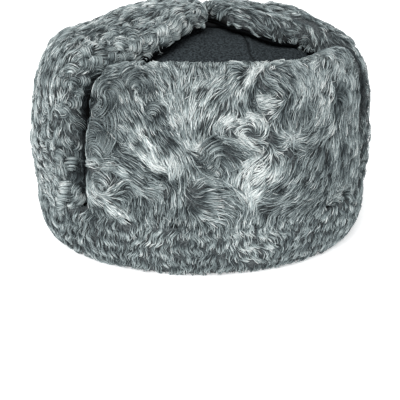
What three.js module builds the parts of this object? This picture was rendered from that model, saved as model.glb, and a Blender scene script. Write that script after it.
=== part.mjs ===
// A karakul ear-flap hat with its visor, ear flaps and neck flap turned up, standing on its rim.
// Millimetres and degrees. The front looks along -Y, +X is the wearer's left and +Z is up.
// A place on the hat is given by its angle from the front, its reach, which is the way along the
// crown from its top, and its offset, which is how far it stands off the crown's cloth.
import * as THREE from "three";

// Crown: wool cloth over wadding, open below for the head
const headHalfWidth = 90;
const headHalfDepth = 97;
const crownWall = 4;
const crownHeight = 141;
const crownUpright = 50; // height of the upright wall under the dome
const domePower = 2.3; // 2 is an ellipse, more is squarer
const goreCount = 4;
const seamAngle = 20; // of the front seam at the foot of the dome
const seamTwist = 20; // how far the seam has turned at the top
const seamDip = 1.2;

// Fur band round the rim
const bandHeight = 34;
const bandFold = 8; // height of the fold that carries the crown's edge
const frontThickness = 15; // of the fur at the front and the back
const sideThickness = 24; // of the fur over the ears
const rimRoundWidth = 11;
const rimRoundHeight = 26;

// Visor, turned up at the front
const visorHalfAngle = 59;
const visorLength = 96;
const visorCornerDrop = 11; // how much shorter it is at its corners
const visorCornerExtra = 4; // how much thicker it is there

// Ear flaps, turned up to the top of the crown
const slitWidth = 4; // between the visor and an ear flap
const flapFrontWidth = 41; // from the middle line to the flap's front edge, at the top
const flapRearWidth = 62;
const shoulderLift = 13; // how far a flap stands off the crown where it bends over
const tipThickness = 10;
const tipNarrowing = 0.7; // width of the tip as a share of the flap's
const tipBulge = 7; // how far the rounded tip reaches past its corners
const tipGap = 3;
const tipShift = 4; // how far to the wearer's left of the middle the tips meet
const edgeScallop = 2; // how far each lock bulges out of a flap's free edge
const facingThickness = 1.5; // cloth on the back of an ear flap
const facingInset = 2.5; // how far the cloth stops short of the fur's edge

// Neck flap, turned up at the back
const neckHalfAngle = 55;
const neckLength = 82;
const neckDip = 8; // how much lower its edge is at the middle

// Ribbon tie that holds the tips, hidden under them
const tieLength = 44;
const tieWidth = 12;
const tieThickness = 2;

// Fleece
const lockWidth = 17;
const lockLength = 20;
const lockDepth = 3;
const lockSway = 0.3; // sideways swing of a lock, as a share of its width
const edgeRoll = 9; // how far in from a free edge the fur rounds over
const edgeFullness = 0.45; // how much of its thickness the fur keeps at a free edge

// Clearances and steps
const seatGap = 0.8; // between soft pieces that lie on each other
const sewnGap = 0.5; // between the pieces along a seam
const crownColumns = 36;
const crownRows = 9;
const bandColumns = 108;

const cloth = { color: 0x2f3538, roughness: 0.95, metalness: 0 };
const facingCloth = { color: 0x24282b, roughness: 0.95, metalness: 0 };
const silkFur = { color: 0x7d8586, roughness: 0.7, metalness: 0 };
const curlFur = { color: 0x7a8586, roughness: 0.75, metalness: 0 };
const bandFur = { color: 0x767e7f, roughness: 0.75, metalness: 0 };
const ribbon = { color: 0x1b1d1f, roughness: 0.8, metalness: 0 };

const mix = THREE.MathUtils.lerp;
const smooth = THREE.MathUtils.smoothstep;
const radians = THREE.MathUtils.degToRad;

const crownHalfWidth = headHalfWidth + crownWall;
const crownHalfDepth = headHalfDepth + crownWall;
const crownRadius = (crownHalfWidth + crownHalfDepth) / 2;
const domeHeight = crownHeight - crownUpright;

// The meridian is a superellipse. Its lengths, summed in short steps, turn a reach into a height.
const meridian = [{ turn: 0, climb: 0 }];
for (let step = 1; step <= 200; step++) {
  const turn = ((step / 200) * Math.PI) / 2;
  const [inwards, up] = onMeridian(turn);
  const [lastInwards, lastUp] = onMeridian(meridian[step - 1].turn);
  const along = Math.hypot((inwards - lastInwards) * crownRadius, (up - lastUp) * domeHeight);
  meridian.push({ turn, climb: meridian[step - 1].climb + along });
}
const domeLength = meridian.at(-1).climb;
const rimReach = domeLength + crownUpright - bandHeight; // from the top down to the band

// Shares of the crown's radius and of the dome's height, at a turn up the dome.
function onMeridian(turn) {
  const cos = Math.max(Math.cos(turn), 0);
  return [cos ** (2 / domePower), Math.sin(turn) ** (2 / domePower)];
}

function turnAtClimb(climb) {
  const next = Math.max(1, meridian.findIndex((mark) => mark.climb >= climb));
  const [low, high] = [meridian[next - 1], meridian[next]];
  const share = THREE.MathUtils.clamp((climb - low.climb) / (high.climb - low.climb), 0, 1);
  return mix(low.turn, high.turn, share);
}

// The crown's surface, moved out along its normal by an offset.
function onCrown(reach, angle, offset) {
  const climb = domeLength - reach;
  const [inwards, up] = onMeridian(climb > 0 ? turnAtClimb(climb) : 0);
  const [sin, cos] = [Math.sin(radians(angle)), Math.cos(radians(angle))];
  const height = crownUpright + (climb > 0 ? up * domeHeight : climb);
  const steep = domeHeight * inwards ** (domePower - 1);
  const normal = new THREE.Vector3(
    crownHalfDepth * steep * sin,
    -crownHalfWidth * steep * cos,
    crownHalfWidth * crownHalfDepth * up ** (domePower - 1),
  ).normalize();
  const point = new THREE.Vector3(crownHalfWidth * inwards * sin, -crownHalfDepth * inwards * cos, height);
  return point.addScaledVector(normal, offset);
}

// The same, at a place on the crown laid flat about its top: across is along +X, back is along +Y.
function onFlatCrown(across, back, offset) {
  const angle = THREE.MathUtils.radToDeg(Math.atan2(across, -back));
  return onCrown(Math.hypot(across, back), angle, offset);
}

// How thick the fur is under its locks, at an angle from the front.
function furThickness(angle) {
  return mix(frontThickness, sideThickness, Math.sin(radians(angle)) ** 2);
}

// Height of the locks, 0 to 1: wavy strands side by side, each swelling and thinning along its way,
// out of step with the next one.
function locks(across, down) {
  const swung = across + lockSway * Math.sin(Math.PI * down);
  const strand = Math.floor(swung);
  const ridge = Math.abs(Math.sin(Math.PI * swung));
  const swell = 0.65 + 0.35 * Math.sin(2 * Math.PI * (down + 0.5 * (strand % 2)));
  return ridge ** 0.7 * swell;
}

// How much of its thickness the fur has at a distance in from a free edge.
function rolledEdge(distance) {
  const inside = THREE.MathUtils.clamp(distance / edgeRoll, 0, 1);
  return mix(edgeFullness, 1, Math.sqrt(1 - (1 - inside) ** 2));
}

function countFor(length, pitch) {
  return Math.max(2, Math.round(length / pitch));
}

function meshFrom(name, points, triangles, finish) {
  const geometry = new THREE.BufferGeometry().setFromPoints(points);
  geometry.setIndex(triangles.flat());
  geometry.computeVertexNormals();
  const mesh = new THREE.Mesh(geometry, new THREE.MeshStandardMaterial(finish));
  mesh.name = name;
  return mesh;
}

// A closed body made of rows of points. A row is a ring, or one point where the body closes over.
function bodyFromRings(name, rings, finish) {
  const points = rings.flat();
  const starts = rings.map((ring, n) => rings.slice(0, n).reduce((sum, each) => sum + each.length, 0));
  const triangles = [];
  for (let n = 0; n < rings.length; n++) {
    const next = (n + 1) % rings.length;
    const [low, high] = [rings[n].length, rings[next].length];
    for (let i = 0; i < Math.max(low, high); i++) {
      const [a, b] = [starts[n] + (i % low), starts[n] + ((i + 1) % low)];
      const [c, d] = [starts[next] + (i % high), starts[next] + ((i + 1) % high)];
      if (a !== b) triangles.push([a, b, d]);
      if (c !== d) triangles.push([a, d, c]);
    }
  }
  return meshFrom(name, points, triangles, finish);
}

// A closed body made of a face and a back on one grid. place(u, v) gives the point of the face, and
// placeBack(u, v) the one behind it. The back may have half as many steps each way.
function bodyFromFaces(name, columns, rows, place, placeBack, finish, backStep = 2) {
  const points = [];
  const triangles = [];
  const grid = (across, up, pick, outwards) => {
    const start = points.length;
    const at = (i, j) => start + j * (across + 1) + i;
    for (let j = 0; j <= up; j++) {
      for (let i = 0; i <= across; i++) points.push(pick(i / across, j / up));
    }
    for (let j = 0; j < up; j++) {
      for (let i = 0; i < across; i++) {
        const [a, b, c, d] = [at(i, j), at(i + 1, j), at(i + 1, j + 1), at(i, j + 1)];
        if (outwards) triangles.push([a, b, c], [a, c, d]);
        else triangles.push([a, c, b], [a, d, c]);
      }
    }
    return border(across, up, at);
  };
  const front = grid(columns, rows, place, true);
  const back = grid(columns / backStep, rows / backStep, placeBack, false);
  back.forEach((b, n) => {
    const c = back[(n + 1) % back.length];
    const first = backStep * n;
    const [o, p, q] = [first, first + 1, first + backStep].map((k) => front[k % front.length]);
    triangles.push([p, o, b], [p, b, c]);
    if (backStep === 2) triangles.push([q, p, c]);
  });
  return meshFrom(name, points, triangles, finish);
}

// The points round a grid's border, anticlockwise from its first corner.
function border(across, up, at) {
  const round = [];
  for (let i = 0; i < across; i++) round.push(at(i, 0));
  for (let j = 0; j < up; j++) round.push(at(across, j));
  for (let i = across; i > 0; i--) round.push(at(i, up));
  for (let j = up; j > 0; j--) round.push(at(0, j));
  return round;
}

// Steps drawn closer together towards both ends, where the fur rounds over.
function closerAtEnds(share) {
  return mix(share, (1 - Math.cos(Math.PI * share)) / 2, 0.55);
}

function closerAtTop(share) {
  return mix(share, Math.sin((Math.PI / 2) * share), 0.55);
}

function makeCrown() {
  const foot = domeLength + crownUpright - bandFold - seatGap;
  const layer = (offset) => {
    const rings = [];
    const dip = offset === 0 ? seamDip : 0;
    for (let row = 0; row < crownRows; row++) {
      const reach = foot * (1 - row / crownRows);
      const ring = [];
      for (let column = 0; column < crownColumns; column++) {
        const onSeam = column % (crownColumns / goreCount) === 0;
        const twist = seamTwist * (1 - smooth(reach, 0, domeLength));
        const angle = seamAngle + twist + (column / crownColumns) * 360;
        ring.push(onCrown(reach, angle, offset - (onSeam ? dip : 0)));
      }
      rings.push(ring);
    }
    rings.push([onCrown(0, 0, offset)]);
    return rings;
  };
  const rings = [...layer(0), ...layer(-crownWall).reverse()];
  return bodyFromRings("crown", rings, cloth);
}

function makeBand() {
  const ground = domeLength + crownUpright;
  const ring = (height, offsetAt) => {
    const points = [];
    for (let column = 0; column < bandColumns; column++) {
      const angle = (column / bandColumns) * 360;
      points.push(onCrown(ground - height, angle, offsetAt(angle)));
    }
    return points;
  };
  const lockCount = countFor(2 * Math.PI * crownRadius, lockWidth);
  const outside = (height) => (angle) => {
    const round = Math.sqrt(1 - Math.max(0, 1 - height / rimRoundHeight) ** 2);
    const relief = locks((angle / 360) * lockCount, height / lockLength) * lockDepth;
    const lean = Math.min(1, height / rimRoundHeight + 0.3);
    return furThickness(angle) + sewnGap - rimRoundWidth * (1 - round) + relief * lean;
  };
  const heights = [0, 0.08, 0.26, 0.45, 0.64, 0.84, 1];
  const rings = [
    ring(bandHeight, () => sewnGap),
    ring(bandFold, () => sewnGap),
    ring(bandFold, () => -crownWall),
    ring(0, () => -crownWall),
    ...heights.map((share) => ring(share * bandHeight, outside(share * bandHeight))),
  ];
  return bodyFromRings("fur_band", rings, bandFur);
}

// A fur piece that rises from the band between two angles, to a reach that depends on the angle.
function makeTurnUp(name, from, to, topReach, thicknessAt, finish) {
  const width = radians(to - from) * crownRadius;
  const length = rimReach - topReach((from + to) / 2);
  const [across, up] = [countFor(width, lockWidth), countFor(length, lockLength)];
  const spot = (u, v) => {
    const angle = mix(from, to, closerAtEnds(u));
    const reach = mix(rimReach - sewnGap, topReach(angle), closerAtTop(v));
    return { angle, reach };
  };
  const face = (u, v) => {
    const { angle, reach } = spot(u, v);
    const side = radians(Math.min(angle - from, to - angle)) * crownRadius;
    const top = reach - topReach(angle);
    const roll = rolledEdge(side) * rolledEdge(top);
    const relief = locks(closerAtEnds(u) * across, (1 - closerAtTop(v)) * up) * lockDepth;
    return onCrown(reach, angle, seatGap + (thicknessAt(angle) + relief) * roll);
  };
  const back = (u, v) => {
    const { angle, reach } = spot(u, v);
    return onCrown(reach, angle, seatGap);
  };
  return bodyFromFaces(name, 4 * across, 4 * Math.round(up * 0.75), face, back, finish);
}

function makeVisor() {
  const cornerShare = (angle) => (Math.abs(angle) / visorHalfAngle) ** 6;
  const topReach = (angle) => rimReach - visorLength + visorCornerDrop * cornerShare(angle);
  const thickness = (angle) => frontThickness + visorCornerExtra * (angle / visorHalfAngle) ** 2;
  return makeTurnUp("visor", -visorHalfAngle, visorHalfAngle, topReach, thickness, silkFur);
}

function makeNeckFlap() {
  const topReach = (angle) => {
    const fromMiddle = (angle - 180) / neckHalfAngle;
    return rimReach - neckLength + neckDip * (1 - fromMiddle ** 2);
  };
  return makeTurnUp("neck_flap", 180 - neckHalfAngle, 180 + neckHalfAngle, topReach, furThickness, curlFur);
}

// An ear flap's form along its length, from the band to the tip: how far it stands off the crown,
// as a share of shoulderLift, and where it is between its full thickness and that of its tip.
const flapForm = [
  { along: 0, lift: 0, thinned: 0 },
  { along: 0.2, lift: 0.2, thinned: 0 },
  { along: 0.45, lift: 1, thinned: 0.05 },
  { along: 0.64, lift: 0.74, thinned: 0.48 },
  { along: 0.8, lift: 0.34, thinned: 0.88 },
  { along: 1, lift: 0, thinned: 1 },
];

function formAt(along, column) {
  const next = Math.max(1, flapForm.findIndex((row) => row.along >= along));
  const [low, high] = [flapForm[next - 1], flapForm[next]];
  return mix(low[column], high[column], smooth(along, low.along, high.along));
}

// Where an ear flap lies on the flattened crown. It follows the crown's meridians from the band to
// the shoulder, and straightens from there to its rounded tip. side is 1 for the wearer's left.
function flapSpot(side, u, v, inset) {
  const frontAngle = radians(visorHalfAngle) + slitWidth / crownRadius;
  const rearAngle = radians(180 - neckHalfAngle) - sewnGap / crownRadius;
  const share = side > 0 ? u : 1 - u;
  const fromMiddle = 2 * share - 1;
  const reach = mix(rimReach - sewnGap - inset, tipGap / 2 + tipBulge * fromMiddle ** 2 + inset, v);
  const angle = mix(frontAngle + inset / crownRadius, rearAngle - inset / crownRadius, share);
  const narrowing = mix(1, tipNarrowing, smooth(v, 0.75, 1) ** 2);
  const halfWidth = ((flapRearWidth + flapFrontWidth) / 2 - inset) * narrowing;
  const back = (flapRearWidth - flapFrontWidth) / 2 + halfWidth * fromMiddle;
  const straight = smooth(v, 0.42, 0.85);
  return {
    across: side * mix(reach * Math.sin(angle), reach, straight) + tipShift * smooth(v, 0.5, 1),
    back: mix(-reach * Math.cos(angle), back, straight),
    halfWidth: mix((reach * (rearAngle - frontAngle)) / 2, halfWidth, straight),
  };
}

const tipLift = seatGap + tieThickness;

function flapLift(v) {
  return seatGap + Math.max(formAt(v, "lift") * shoulderLift, smooth(v, 0.5, 0.8) * tipLift);
}

const flapColumns = 4 * countFor(flapFrontWidth + flapRearWidth, lockWidth);
const flapRows = 4 * countFor(rimReach * 0.72, lockLength);

function makeEarFlap(name, side) {
  const across = countFor(flapFrontWidth + flapRearWidth, lockWidth);
  const up = countFor(rimReach, lockLength);
  const spot = (u, v) => {
    const place = flapSpot(side, closerAtEnds(u), closerAtTop(v), 0);
    const fromMiddle = side * (2 * closerAtEnds(u) - 1);
    const scallop = Math.abs(Math.sin(Math.PI * closerAtTop(v) * up)) * smooth(v, 0.45, 0.6);
    place.back += edgeScallop * scallop * fromMiddle ** 5;
    return place;
  };
  const back = (u, v) => {
    const place = spot(u, v);
    return onFlatCrown(place.across, place.back, flapLift(closerAtTop(v)) + facingThickness + sewnGap);
  };
  const face = (u, v) => {
    const [shareAcross, shareUp] = [closerAtEnds(u), closerAtTop(v)];
    const place = spot(u, v);
    const fromEdge = 2 * place.halfWidth * Math.min(shareAcross, 1 - shareAcross);
    const roll = rolledEdge(fromEdge) * rolledEdge((1 - shareUp) * rimReach);
    const relief = locks(shareAcross * across, (1 - shareUp) * up) * lockDepth;
    const full = mix(sideThickness - facingThickness, tipThickness, formAt(shareUp, "thinned"));
    const under = flapLift(shareUp) + facingThickness + sewnGap;
    return onFlatCrown(place.across, place.back, under + (full + relief) * roll);
  };
  return bodyFromFaces(name, flapColumns, flapRows, face, back, curlFur);
}

function makeFacing(name, side) {
  const layer = (lift) => (u, v) => {
    const [shareAcross, shareUp] = [closerAtEnds(u), closerAtTop(v)];
    const place = flapSpot(side, shareAcross, shareUp, facingInset);
    return onFlatCrown(place.across, place.back, flapLift(shareUp) + lift);
  };
  const [columns, rows] = [flapColumns / 2, flapRows / 2];
  return bodyFromFaces(name, columns, rows, layer(facingThickness), layer(0), facingCloth, 1);
}

function makeTie() {
  const layer = (offset) => (u, v) => onFlatCrown((u - 0.5) * tieLength, (v - 0.5) * tieWidth, offset);
  return bodyFromFaces("flap_tie", 8, 2, layer(seatGap + tieThickness), layer(seatGap), ribbon, 1);
}

const hat = new THREE.Group();
hat.add(makeCrown(), makeBand(), makeVisor(), makeNeckFlap());
hat.add(makeEarFlap("ear_flap_left", 1), makeEarFlap("ear_flap_right", -1));
hat.add(makeFacing("facing_left", 1), makeFacing("facing_right", -1));
hat.add(makeTie());

export default hat;
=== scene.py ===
import bpy
import numpy as np
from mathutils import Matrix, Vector


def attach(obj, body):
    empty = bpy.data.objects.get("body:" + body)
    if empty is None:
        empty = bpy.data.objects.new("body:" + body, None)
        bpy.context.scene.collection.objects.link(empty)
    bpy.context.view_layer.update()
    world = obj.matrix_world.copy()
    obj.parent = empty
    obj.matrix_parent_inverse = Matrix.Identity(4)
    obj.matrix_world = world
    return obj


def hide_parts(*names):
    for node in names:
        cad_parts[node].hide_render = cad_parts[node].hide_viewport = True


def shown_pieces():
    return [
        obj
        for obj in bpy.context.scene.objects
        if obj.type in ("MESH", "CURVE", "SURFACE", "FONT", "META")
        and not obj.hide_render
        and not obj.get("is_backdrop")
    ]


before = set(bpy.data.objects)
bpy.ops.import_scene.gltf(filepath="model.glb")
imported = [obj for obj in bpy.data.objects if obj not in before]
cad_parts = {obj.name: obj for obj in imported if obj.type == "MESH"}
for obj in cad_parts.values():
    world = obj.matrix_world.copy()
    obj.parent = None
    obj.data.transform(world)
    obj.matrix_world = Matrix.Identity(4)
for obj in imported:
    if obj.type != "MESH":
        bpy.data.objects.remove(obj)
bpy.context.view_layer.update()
random = np.random.default_rng(11)
print("frame loaded")

# The hat's forms in millimetres, as the solids have them. A reach is a length down the crown from
# its top, and an offset or a lift is a height over a surface. The front is -Y and the wearer's left is +X.
crownForm = {"halfWidth": 94, "halfDepth": 101, "height": 141, "upright": 50, "domePower": 2.3, "wall": 4}
photoView = {"place": (-160.95, -544.76, 216.52), "turn": -16.388, "tilt": 19.865, "lens": 71.31}
furForm = {"front": 15, "side": 24, "seat": 0.8, "sewn": 0.5, "bandHeight": 34, "bandFold": 8}


# The value at a share of the way from a to b.
def mix(a, b, share):
    return a + (b - a) * share


# A soft step from 0 at low to 1 at high: 3 t^2 - 2 t^3.
def smooth(x, low, high):
    t = np.clip((x - low) / (high - low), 0, 1)
    return t * t * (3 - 2 * t)


# Vectors divided by their lengths.
def unit(v):
    return v / np.maximum(np.linalg.norm(v, axis=-1, keepdims=True), 1e-9)


# Flat vectors turned by an angle in radians.
def turned(east, north, angle):
    cos, sin = np.cos(angle), np.sin(angle)
    return east * cos - north * sin, east * sin + north * cos


# The crown's meridian is a superellipse: inwards = cos^(2/p), up = sin^(2/p) of a turn. The summed
# lengths of its short steps turn a climb into a turn.
domeHeight = crownForm["height"] - crownForm["upright"]
crownRadius = (crownForm["halfWidth"] + crownForm["halfDepth"]) / 2
turns = np.linspace(0, np.pi / 2, 600)


def onMeridian(turn):
    power = 2 / crownForm["domePower"]
    return np.clip(np.cos(turn), 0, 1) ** power, np.clip(np.sin(turn), 0, 1) ** power


inwardsTable, upTable = onMeridian(turns)
stepLengths = np.hypot(np.diff(inwardsTable) * crownRadius, np.diff(upTable) * domeHeight)
climbTable = np.concatenate([[0], np.cumsum(stepLengths)])
domeLength = climbTable[-1]
crownLength = domeLength + crownForm["upright"]
rimReach = crownLength - furForm["bandHeight"]


# How far from the middle the meridian is at a climb up the dome, and how high, as shares.
def climbed(climb):
    return onMeridian(np.interp(climb, climbTable, turns))


# The angle from the front, in degrees, at a length round the crown.
def angleAt(x):
    return np.degrees(x / crownRadius)


# A point of the crown at a reach and an angle from the front in degrees, moved out along the
# superellipsoid's normal by an offset.
def onCrown(reach, angle, offset):
    reach, angle, offset = np.broadcast_arrays(np.asarray(reach, float), angle, offset)
    climb = domeLength - reach
    inwards, up = climbed(climb)
    sin, cos = np.sin(np.radians(angle)), np.cos(np.radians(angle))
    wide, deep = crownForm["halfWidth"], crownForm["halfDepth"]
    height = crownForm["upright"] + np.where(climb > 0, up * domeHeight, climb)
    steep = domeHeight * inwards ** (crownForm["domePower"] - 1)
    flat = wide * deep * up ** (crownForm["domePower"] - 1)
    normal = unit(np.stack([deep * steep * sin, -wide * steep * cos, flat], -1))
    point = np.stack([wide * inwards * sin, -deep * inwards * cos, height], -1)
    return point + normal * offset[..., None]


# The same on the crown laid flat about its top, with across along +X and back along +Y.
def onFlatCrown(across, back, offset):
    return onCrown(np.hypot(across, back), np.degrees(np.arctan2(across, -back)), offset)


# The fur is thin in front and behind and thick over the ears, by the square of the angle's sine.
def furThickness(angle):
    return mix(furForm["front"], furForm["side"], np.sin(np.radians(angle)) ** 2)


# A rounded border: height 0 to 1 at a distance in from an edge, (1 - (1 - d/r)^p)^(1/p).
def rolledEdge(distance, radius, power=2.4):
    inside = np.clip(distance / radius, 0, 1)
    return (1 - (1 - inside) ** power) ** (1 / power)


# A border's height where its wall ends, and how fast it falls outside the border.
edgeLow, edgeFall = 0.45, 0.045


# Over a rounded border, measured along the fur: at a length e in from the border, how far in a point
# is, and how much of the full height it has. A wall, then a quarter ellipse: d = deep (1 - cos t) and
# height = low + (1 - low) sin t.
def overEdge(e, edge, low=edgeLow):
    t = np.clip(e / edge["length"], 0, 1) * np.pi / 2
    back = edge.get("back", 0)
    d = back + (edge["deep"] - back) * (1 - np.cos(t)) + np.maximum(e - edge["length"], 0)
    return d, low + (1 - low) * np.sin(t) + edgeFall * np.minimum(e, 0)


# How much longer a way over a rounded border is than the flat under it.
def grown(edge):
    return edge["length"] - edge["deep"]


# The same for both sides of a piece: where x over the fur lies on the flat, and its height.
def overSides(x, width, edge, low=edgeLow):
    d, height = overEdge(width / 2 + grown(edge) - np.abs(x), edge, low)
    return np.sign(x) * (width / 2 - d), height


# And for its top.
def overTop(y, top, edge, low=edgeLow):
    d, height = overEdge(top + grown(edge) - y, edge, low)
    return top - d, height


# Even shares drawn closer together at both ends: mixed with half a cosine wave.
def closerAtEnds(share, how=0.6):
    return mix(share, (1 - np.cos(np.pi * share)) / 2, how)


# A piece from points in millimetres and triangles, with a map and a shade for each point if given.
def newMesh(name, points, triangles, material, uv=None, shade=None):
    mesh = bpy.data.meshes.new(name)
    mesh.vertices.add(len(points))
    mesh.vertices.foreach_set("co", (np.asarray(points) * 0.001).astype(np.float32).ravel())
    triangles = np.asarray(triangles, np.int32)
    mesh.loops.add(triangles.size)
    mesh.loops.foreach_set("vertex_index", triangles.ravel())
    mesh.polygons.add(len(triangles))
    mesh.polygons.foreach_set("loop_start", np.arange(0, triangles.size, 3, dtype=np.int32))
    mesh.polygons.foreach_set("loop_total", np.full(len(triangles), 3, np.int32))
    mesh.polygons.foreach_set("use_smooth", np.ones(len(triangles), bool))
    mesh.update(calc_edges=True)
    if uv is not None:
        layer = mesh.uv_layers.new(name="OFBake")
        layer.data.foreach_set("uv", np.asarray(uv, np.float32)[triangles.ravel()].ravel())
    if shade is not None:
        mesh.attributes.new("shade", "FLOAT", "POINT").data.foreach_set("value", np.asarray(shade, np.float32))
    mesh.materials.append(material)
    mesh.validate()
    piece = bpy.data.objects.new(name, mesh)
    bpy.context.scene.collection.objects.link(piece)
    return piece


# Two triangles in each cell of a grid of points, numbered along its columns first.
def gridTriangles(columns, rows, start=0, outwards=True):
    i, j = np.meshgrid(np.arange(columns), np.arange(rows))
    a = (start + j * (columns + 1) + i).ravel()
    b, c, d = a + 1, a + columns + 2, a + columns + 1
    both = np.concatenate([np.stack([a, b, c], 1), np.stack([a, c, d], 1)])
    return both if outwards else both[:, ::-1]


# The numbers of the points round such a grid, in order.
def gridBorder(columns, rows):
    at = lambda i, j: j * (columns + 1) + i
    i, j = np.arange(columns), np.arange(rows)
    return np.concatenate([at(i, 0), at(columns, j), at(columns - i, rows), at(0, rows - j)])


# The triangles between two closed rings of as many points.
def betweenRings(low, high):
    lowNext, highNext = np.roll(low, -1), np.roll(high, -1)
    return [np.stack([low, lowNext, highNext], 1), np.stack([low, highNext, high], 1)]


# A closed slab: a face and a back on one grid of shares, joined round their border. Its border and
# its back are darkened by painted shade, through its shade attribute times pale.
def slab(name, columns, rows, face, back, material, pale=1.0):
    shadedCells = 2.5
    across, up = (closerAtEnds(np.linspace(0, 1, cells + 1)) for cells in (columns, rows))
    u, v = np.meshgrid(across, up)
    front, behind = face(u, v).reshape(-1, 3), back(u, v).reshape(-1, 3)
    rim = gridBorder(columns, rows)
    after = np.roll(rim, -1)
    low, lowAfter = rim + len(front), after + len(front)
    wall = [np.stack([after, rim, low], 1), np.stack([after, low, lowAfter], 1)]
    sides = [gridTriangles(columns, rows), gridTriangles(columns, rows, len(front), False)]
    border = np.minimum(np.minimum(u, 1 - u) * columns, np.minimum(v, 1 - v) * rows).ravel()
    # painted shade: none inside the face, full on its border and on its back
    shade = np.concatenate([smooth(border, 0, shadedCells), 0 * border]) * pale
    return newMesh(name, np.concatenate([front, behind]), np.concatenate(sides + wall), material, shade=shade)


# What the part has to know of a piece: its body and the solids that it stands for, which are hidden; its slot,
# slotName, is not used.
def finishPiece(piece, slotName, *nodes):
    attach(piece, "root")
    if nodes:
        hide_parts(*nodes)
    return piece


# Strands of fur start here. A point over a fur sheet is lifted along the sheet's own normal, which
# comes from its slopes along x and y. The normals come back too.
def liftOff(sheet, x, y, lift):
    step = 0.5
    here = sheet(x, y)
    alongX = sheet(x + step, y) - sheet(x - step, y)
    alongY = sheet(x, y + step) - sheet(x, y - step)
    normal = unit(np.cross(alongX, alongY))
    return here + normal * lift[..., None], normal


# a strand's share of its width along its length, and how high its ridge is over its half width
strandForm = {"at": (0, 0.25, 0.5, 1), "taper": (0.7, 1.0, 0.95, 0.5), "ridge": 1.2}


# Tapered three-sided strands, closed at the root and drawn to a point. path is (strands, steps, 2) in
# millimetres on the sheet.
def strands(name, sheet, path, lift, width, tone, material):
    points, normal = liftOff(sheet, path[..., 0], path[..., 1], lift)
    along = unit(np.gradient(points, axis=1))
    side = unit(np.cross(along, normal))
    over = np.cross(side, along)
    count, rings = len(points), points.shape[1] - 1
    taper = np.interp(np.arange(rings) / rings, strandForm["at"], strandForm["taper"])
    half = (width[:, None] * taper * 0.5)[..., None]
    core, side, over = points[:, :rings], side[:, :rings], over[:, :rings]
    corners = np.stack([core - side * half, core + side * half, core + over * half * strandForm["ridge"]], 2)
    vertices = np.concatenate([corners.reshape(count, rings * 3, 3), points[:, rings:]], 1)
    triangles = [[0, 1, 2]]
    for ring in range(rings - 1):
        for corner in range(3):
            a, b = ring * 3 + corner, ring * 3 + (corner + 1) % 3
            triangles += [[a, a + 3, b], [b, a + 3, b + 3]]
    last = rings * 3 - 3
    triangles += [[last + corner, last + 3, last + (corner + 1) % 3] for corner in range(3)]
    starts = np.arange(count)[:, None, None] * (rings * 3 + 1)
    triangles = (starts + np.array(triangles)[None]).reshape(-1, 3)
    return newMesh(name, vertices.reshape(-1, 3), triangles, material, strandMap(tone, rings))


# A strand's map: its tone across, a trace apart at each ring's corners, and its length up.
def strandMap(tone, rings):
    shares = np.linspace(0.01, 0.99, rings + 1)
    tone = 0.02 + 0.96 * np.clip(tone, 0, 1)
    across = np.repeat(tone[:, :rings], 3, 1) + np.tile([-0.003, 0.003, 0.0], rings)
    across = np.concatenate([across, tone[:, rings:]], 1)
    up = np.concatenate([np.repeat(shares[:rings], 3), shares[rings:]])
    return np.stack([across, np.broadcast_to(up, across.shape)], -1).reshape(-1, 2)


# Strands as a finished piece of their own.
def growFur(name, slotName, sheet, hair, material):
    return finishPiece(strands(name, sheet, *hair, material), slotName)


# how much of its reach a mark has, and the weights of the resting heading and the middle brightness
combingLook = {"narrow": 0.78, "resting": 0.02, "unread": 0.05}


# How the hair is combed: each mark is (x, y, heading in degrees, brightness 0 to 1, reach in mm); its
# brightness is the hair's own tone together with painted highlights and painted shade. The
# heading at a point is the mean of all of them, weighted by exp(-distance^2 / 2 reach^2).
def combing(marks, resting):
    marks = np.array(marks, float).reshape(-1, 5)
    faint, unread = combingLook["resting"], combingLook["unread"]

    def at(x, y):
        far = (x[..., None] - marks[:, 0]) ** 2 + (y[..., None] - marks[:, 1]) ** 2
        weight = np.exp(-far / (2 * (combingLook["narrow"] * marks[:, 4]) ** 2))
        angle = np.radians(marks[:, 2])
        east = (weight * np.cos(angle)).sum(-1) + faint * np.cos(np.radians(resting))
        north = (weight * np.sin(angle)).sum(-1) + faint * np.sin(np.radians(resting))
        total, light = weight.sum(-1) + unread, (weight * marks[:, 3]).sum(-1) + unread * 0.5
        length = np.maximum(np.hypot(east, north), 1e-6)
        return east / length, north / length, light / total

    return at


rippleLook = {"waves": 7, "lengths": (0.7, 1.4), "calm": 2.6, "seed": 5}


# A smooth random height about 0, from sine waves of nearly one length.
def ripple(x, y, length):
    waves = np.random.default_rng(rippleLook["seed"])
    total = 0 * x
    for _ in range(rippleLook["waves"]):
        way, phase = waves.uniform(0, 2 * np.pi, 2)
        stretch = waves.uniform(*rippleLook["lengths"])
        total = total + np.sin(2 * np.pi * (x * np.cos(way) + y * np.sin(way)) / (length * stretch) + phase)
    return total / rippleLook["calm"]


# The same combing with its heading swung to and fro by a ripple, in degrees.
def crinkled(combed, length, swing):
    def at(x, y):
        east, north, light = combed(x, y)
        return *turned(east, north, np.radians(swing) * ripple(x, y, length)), light

    return at


# Places in staggered rows, each moved by up to a loose share of their spacing, where inside is true.
def scatter(width, height, spacing, inside, loose=0.4):
    rowShare = 0.87
    columns, rows = int(width / spacing) + 2, int(height / (spacing * rowShare)) + 2
    i, j = np.meshgrid(np.arange(columns), np.arange(rows))
    x = (i + 0.5 * (j % 2)) * spacing - width / 2 - spacing / 2
    y = j * spacing * rowShare - spacing * 0.4
    x = (x + random.uniform(-loose, loose, x.shape) * spacing).ravel()
    y = (y + random.uniform(-loose, loose, y.shape) * spacing).ravel()
    keep = inside(x, y)
    return x[keep], y[keep]
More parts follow.
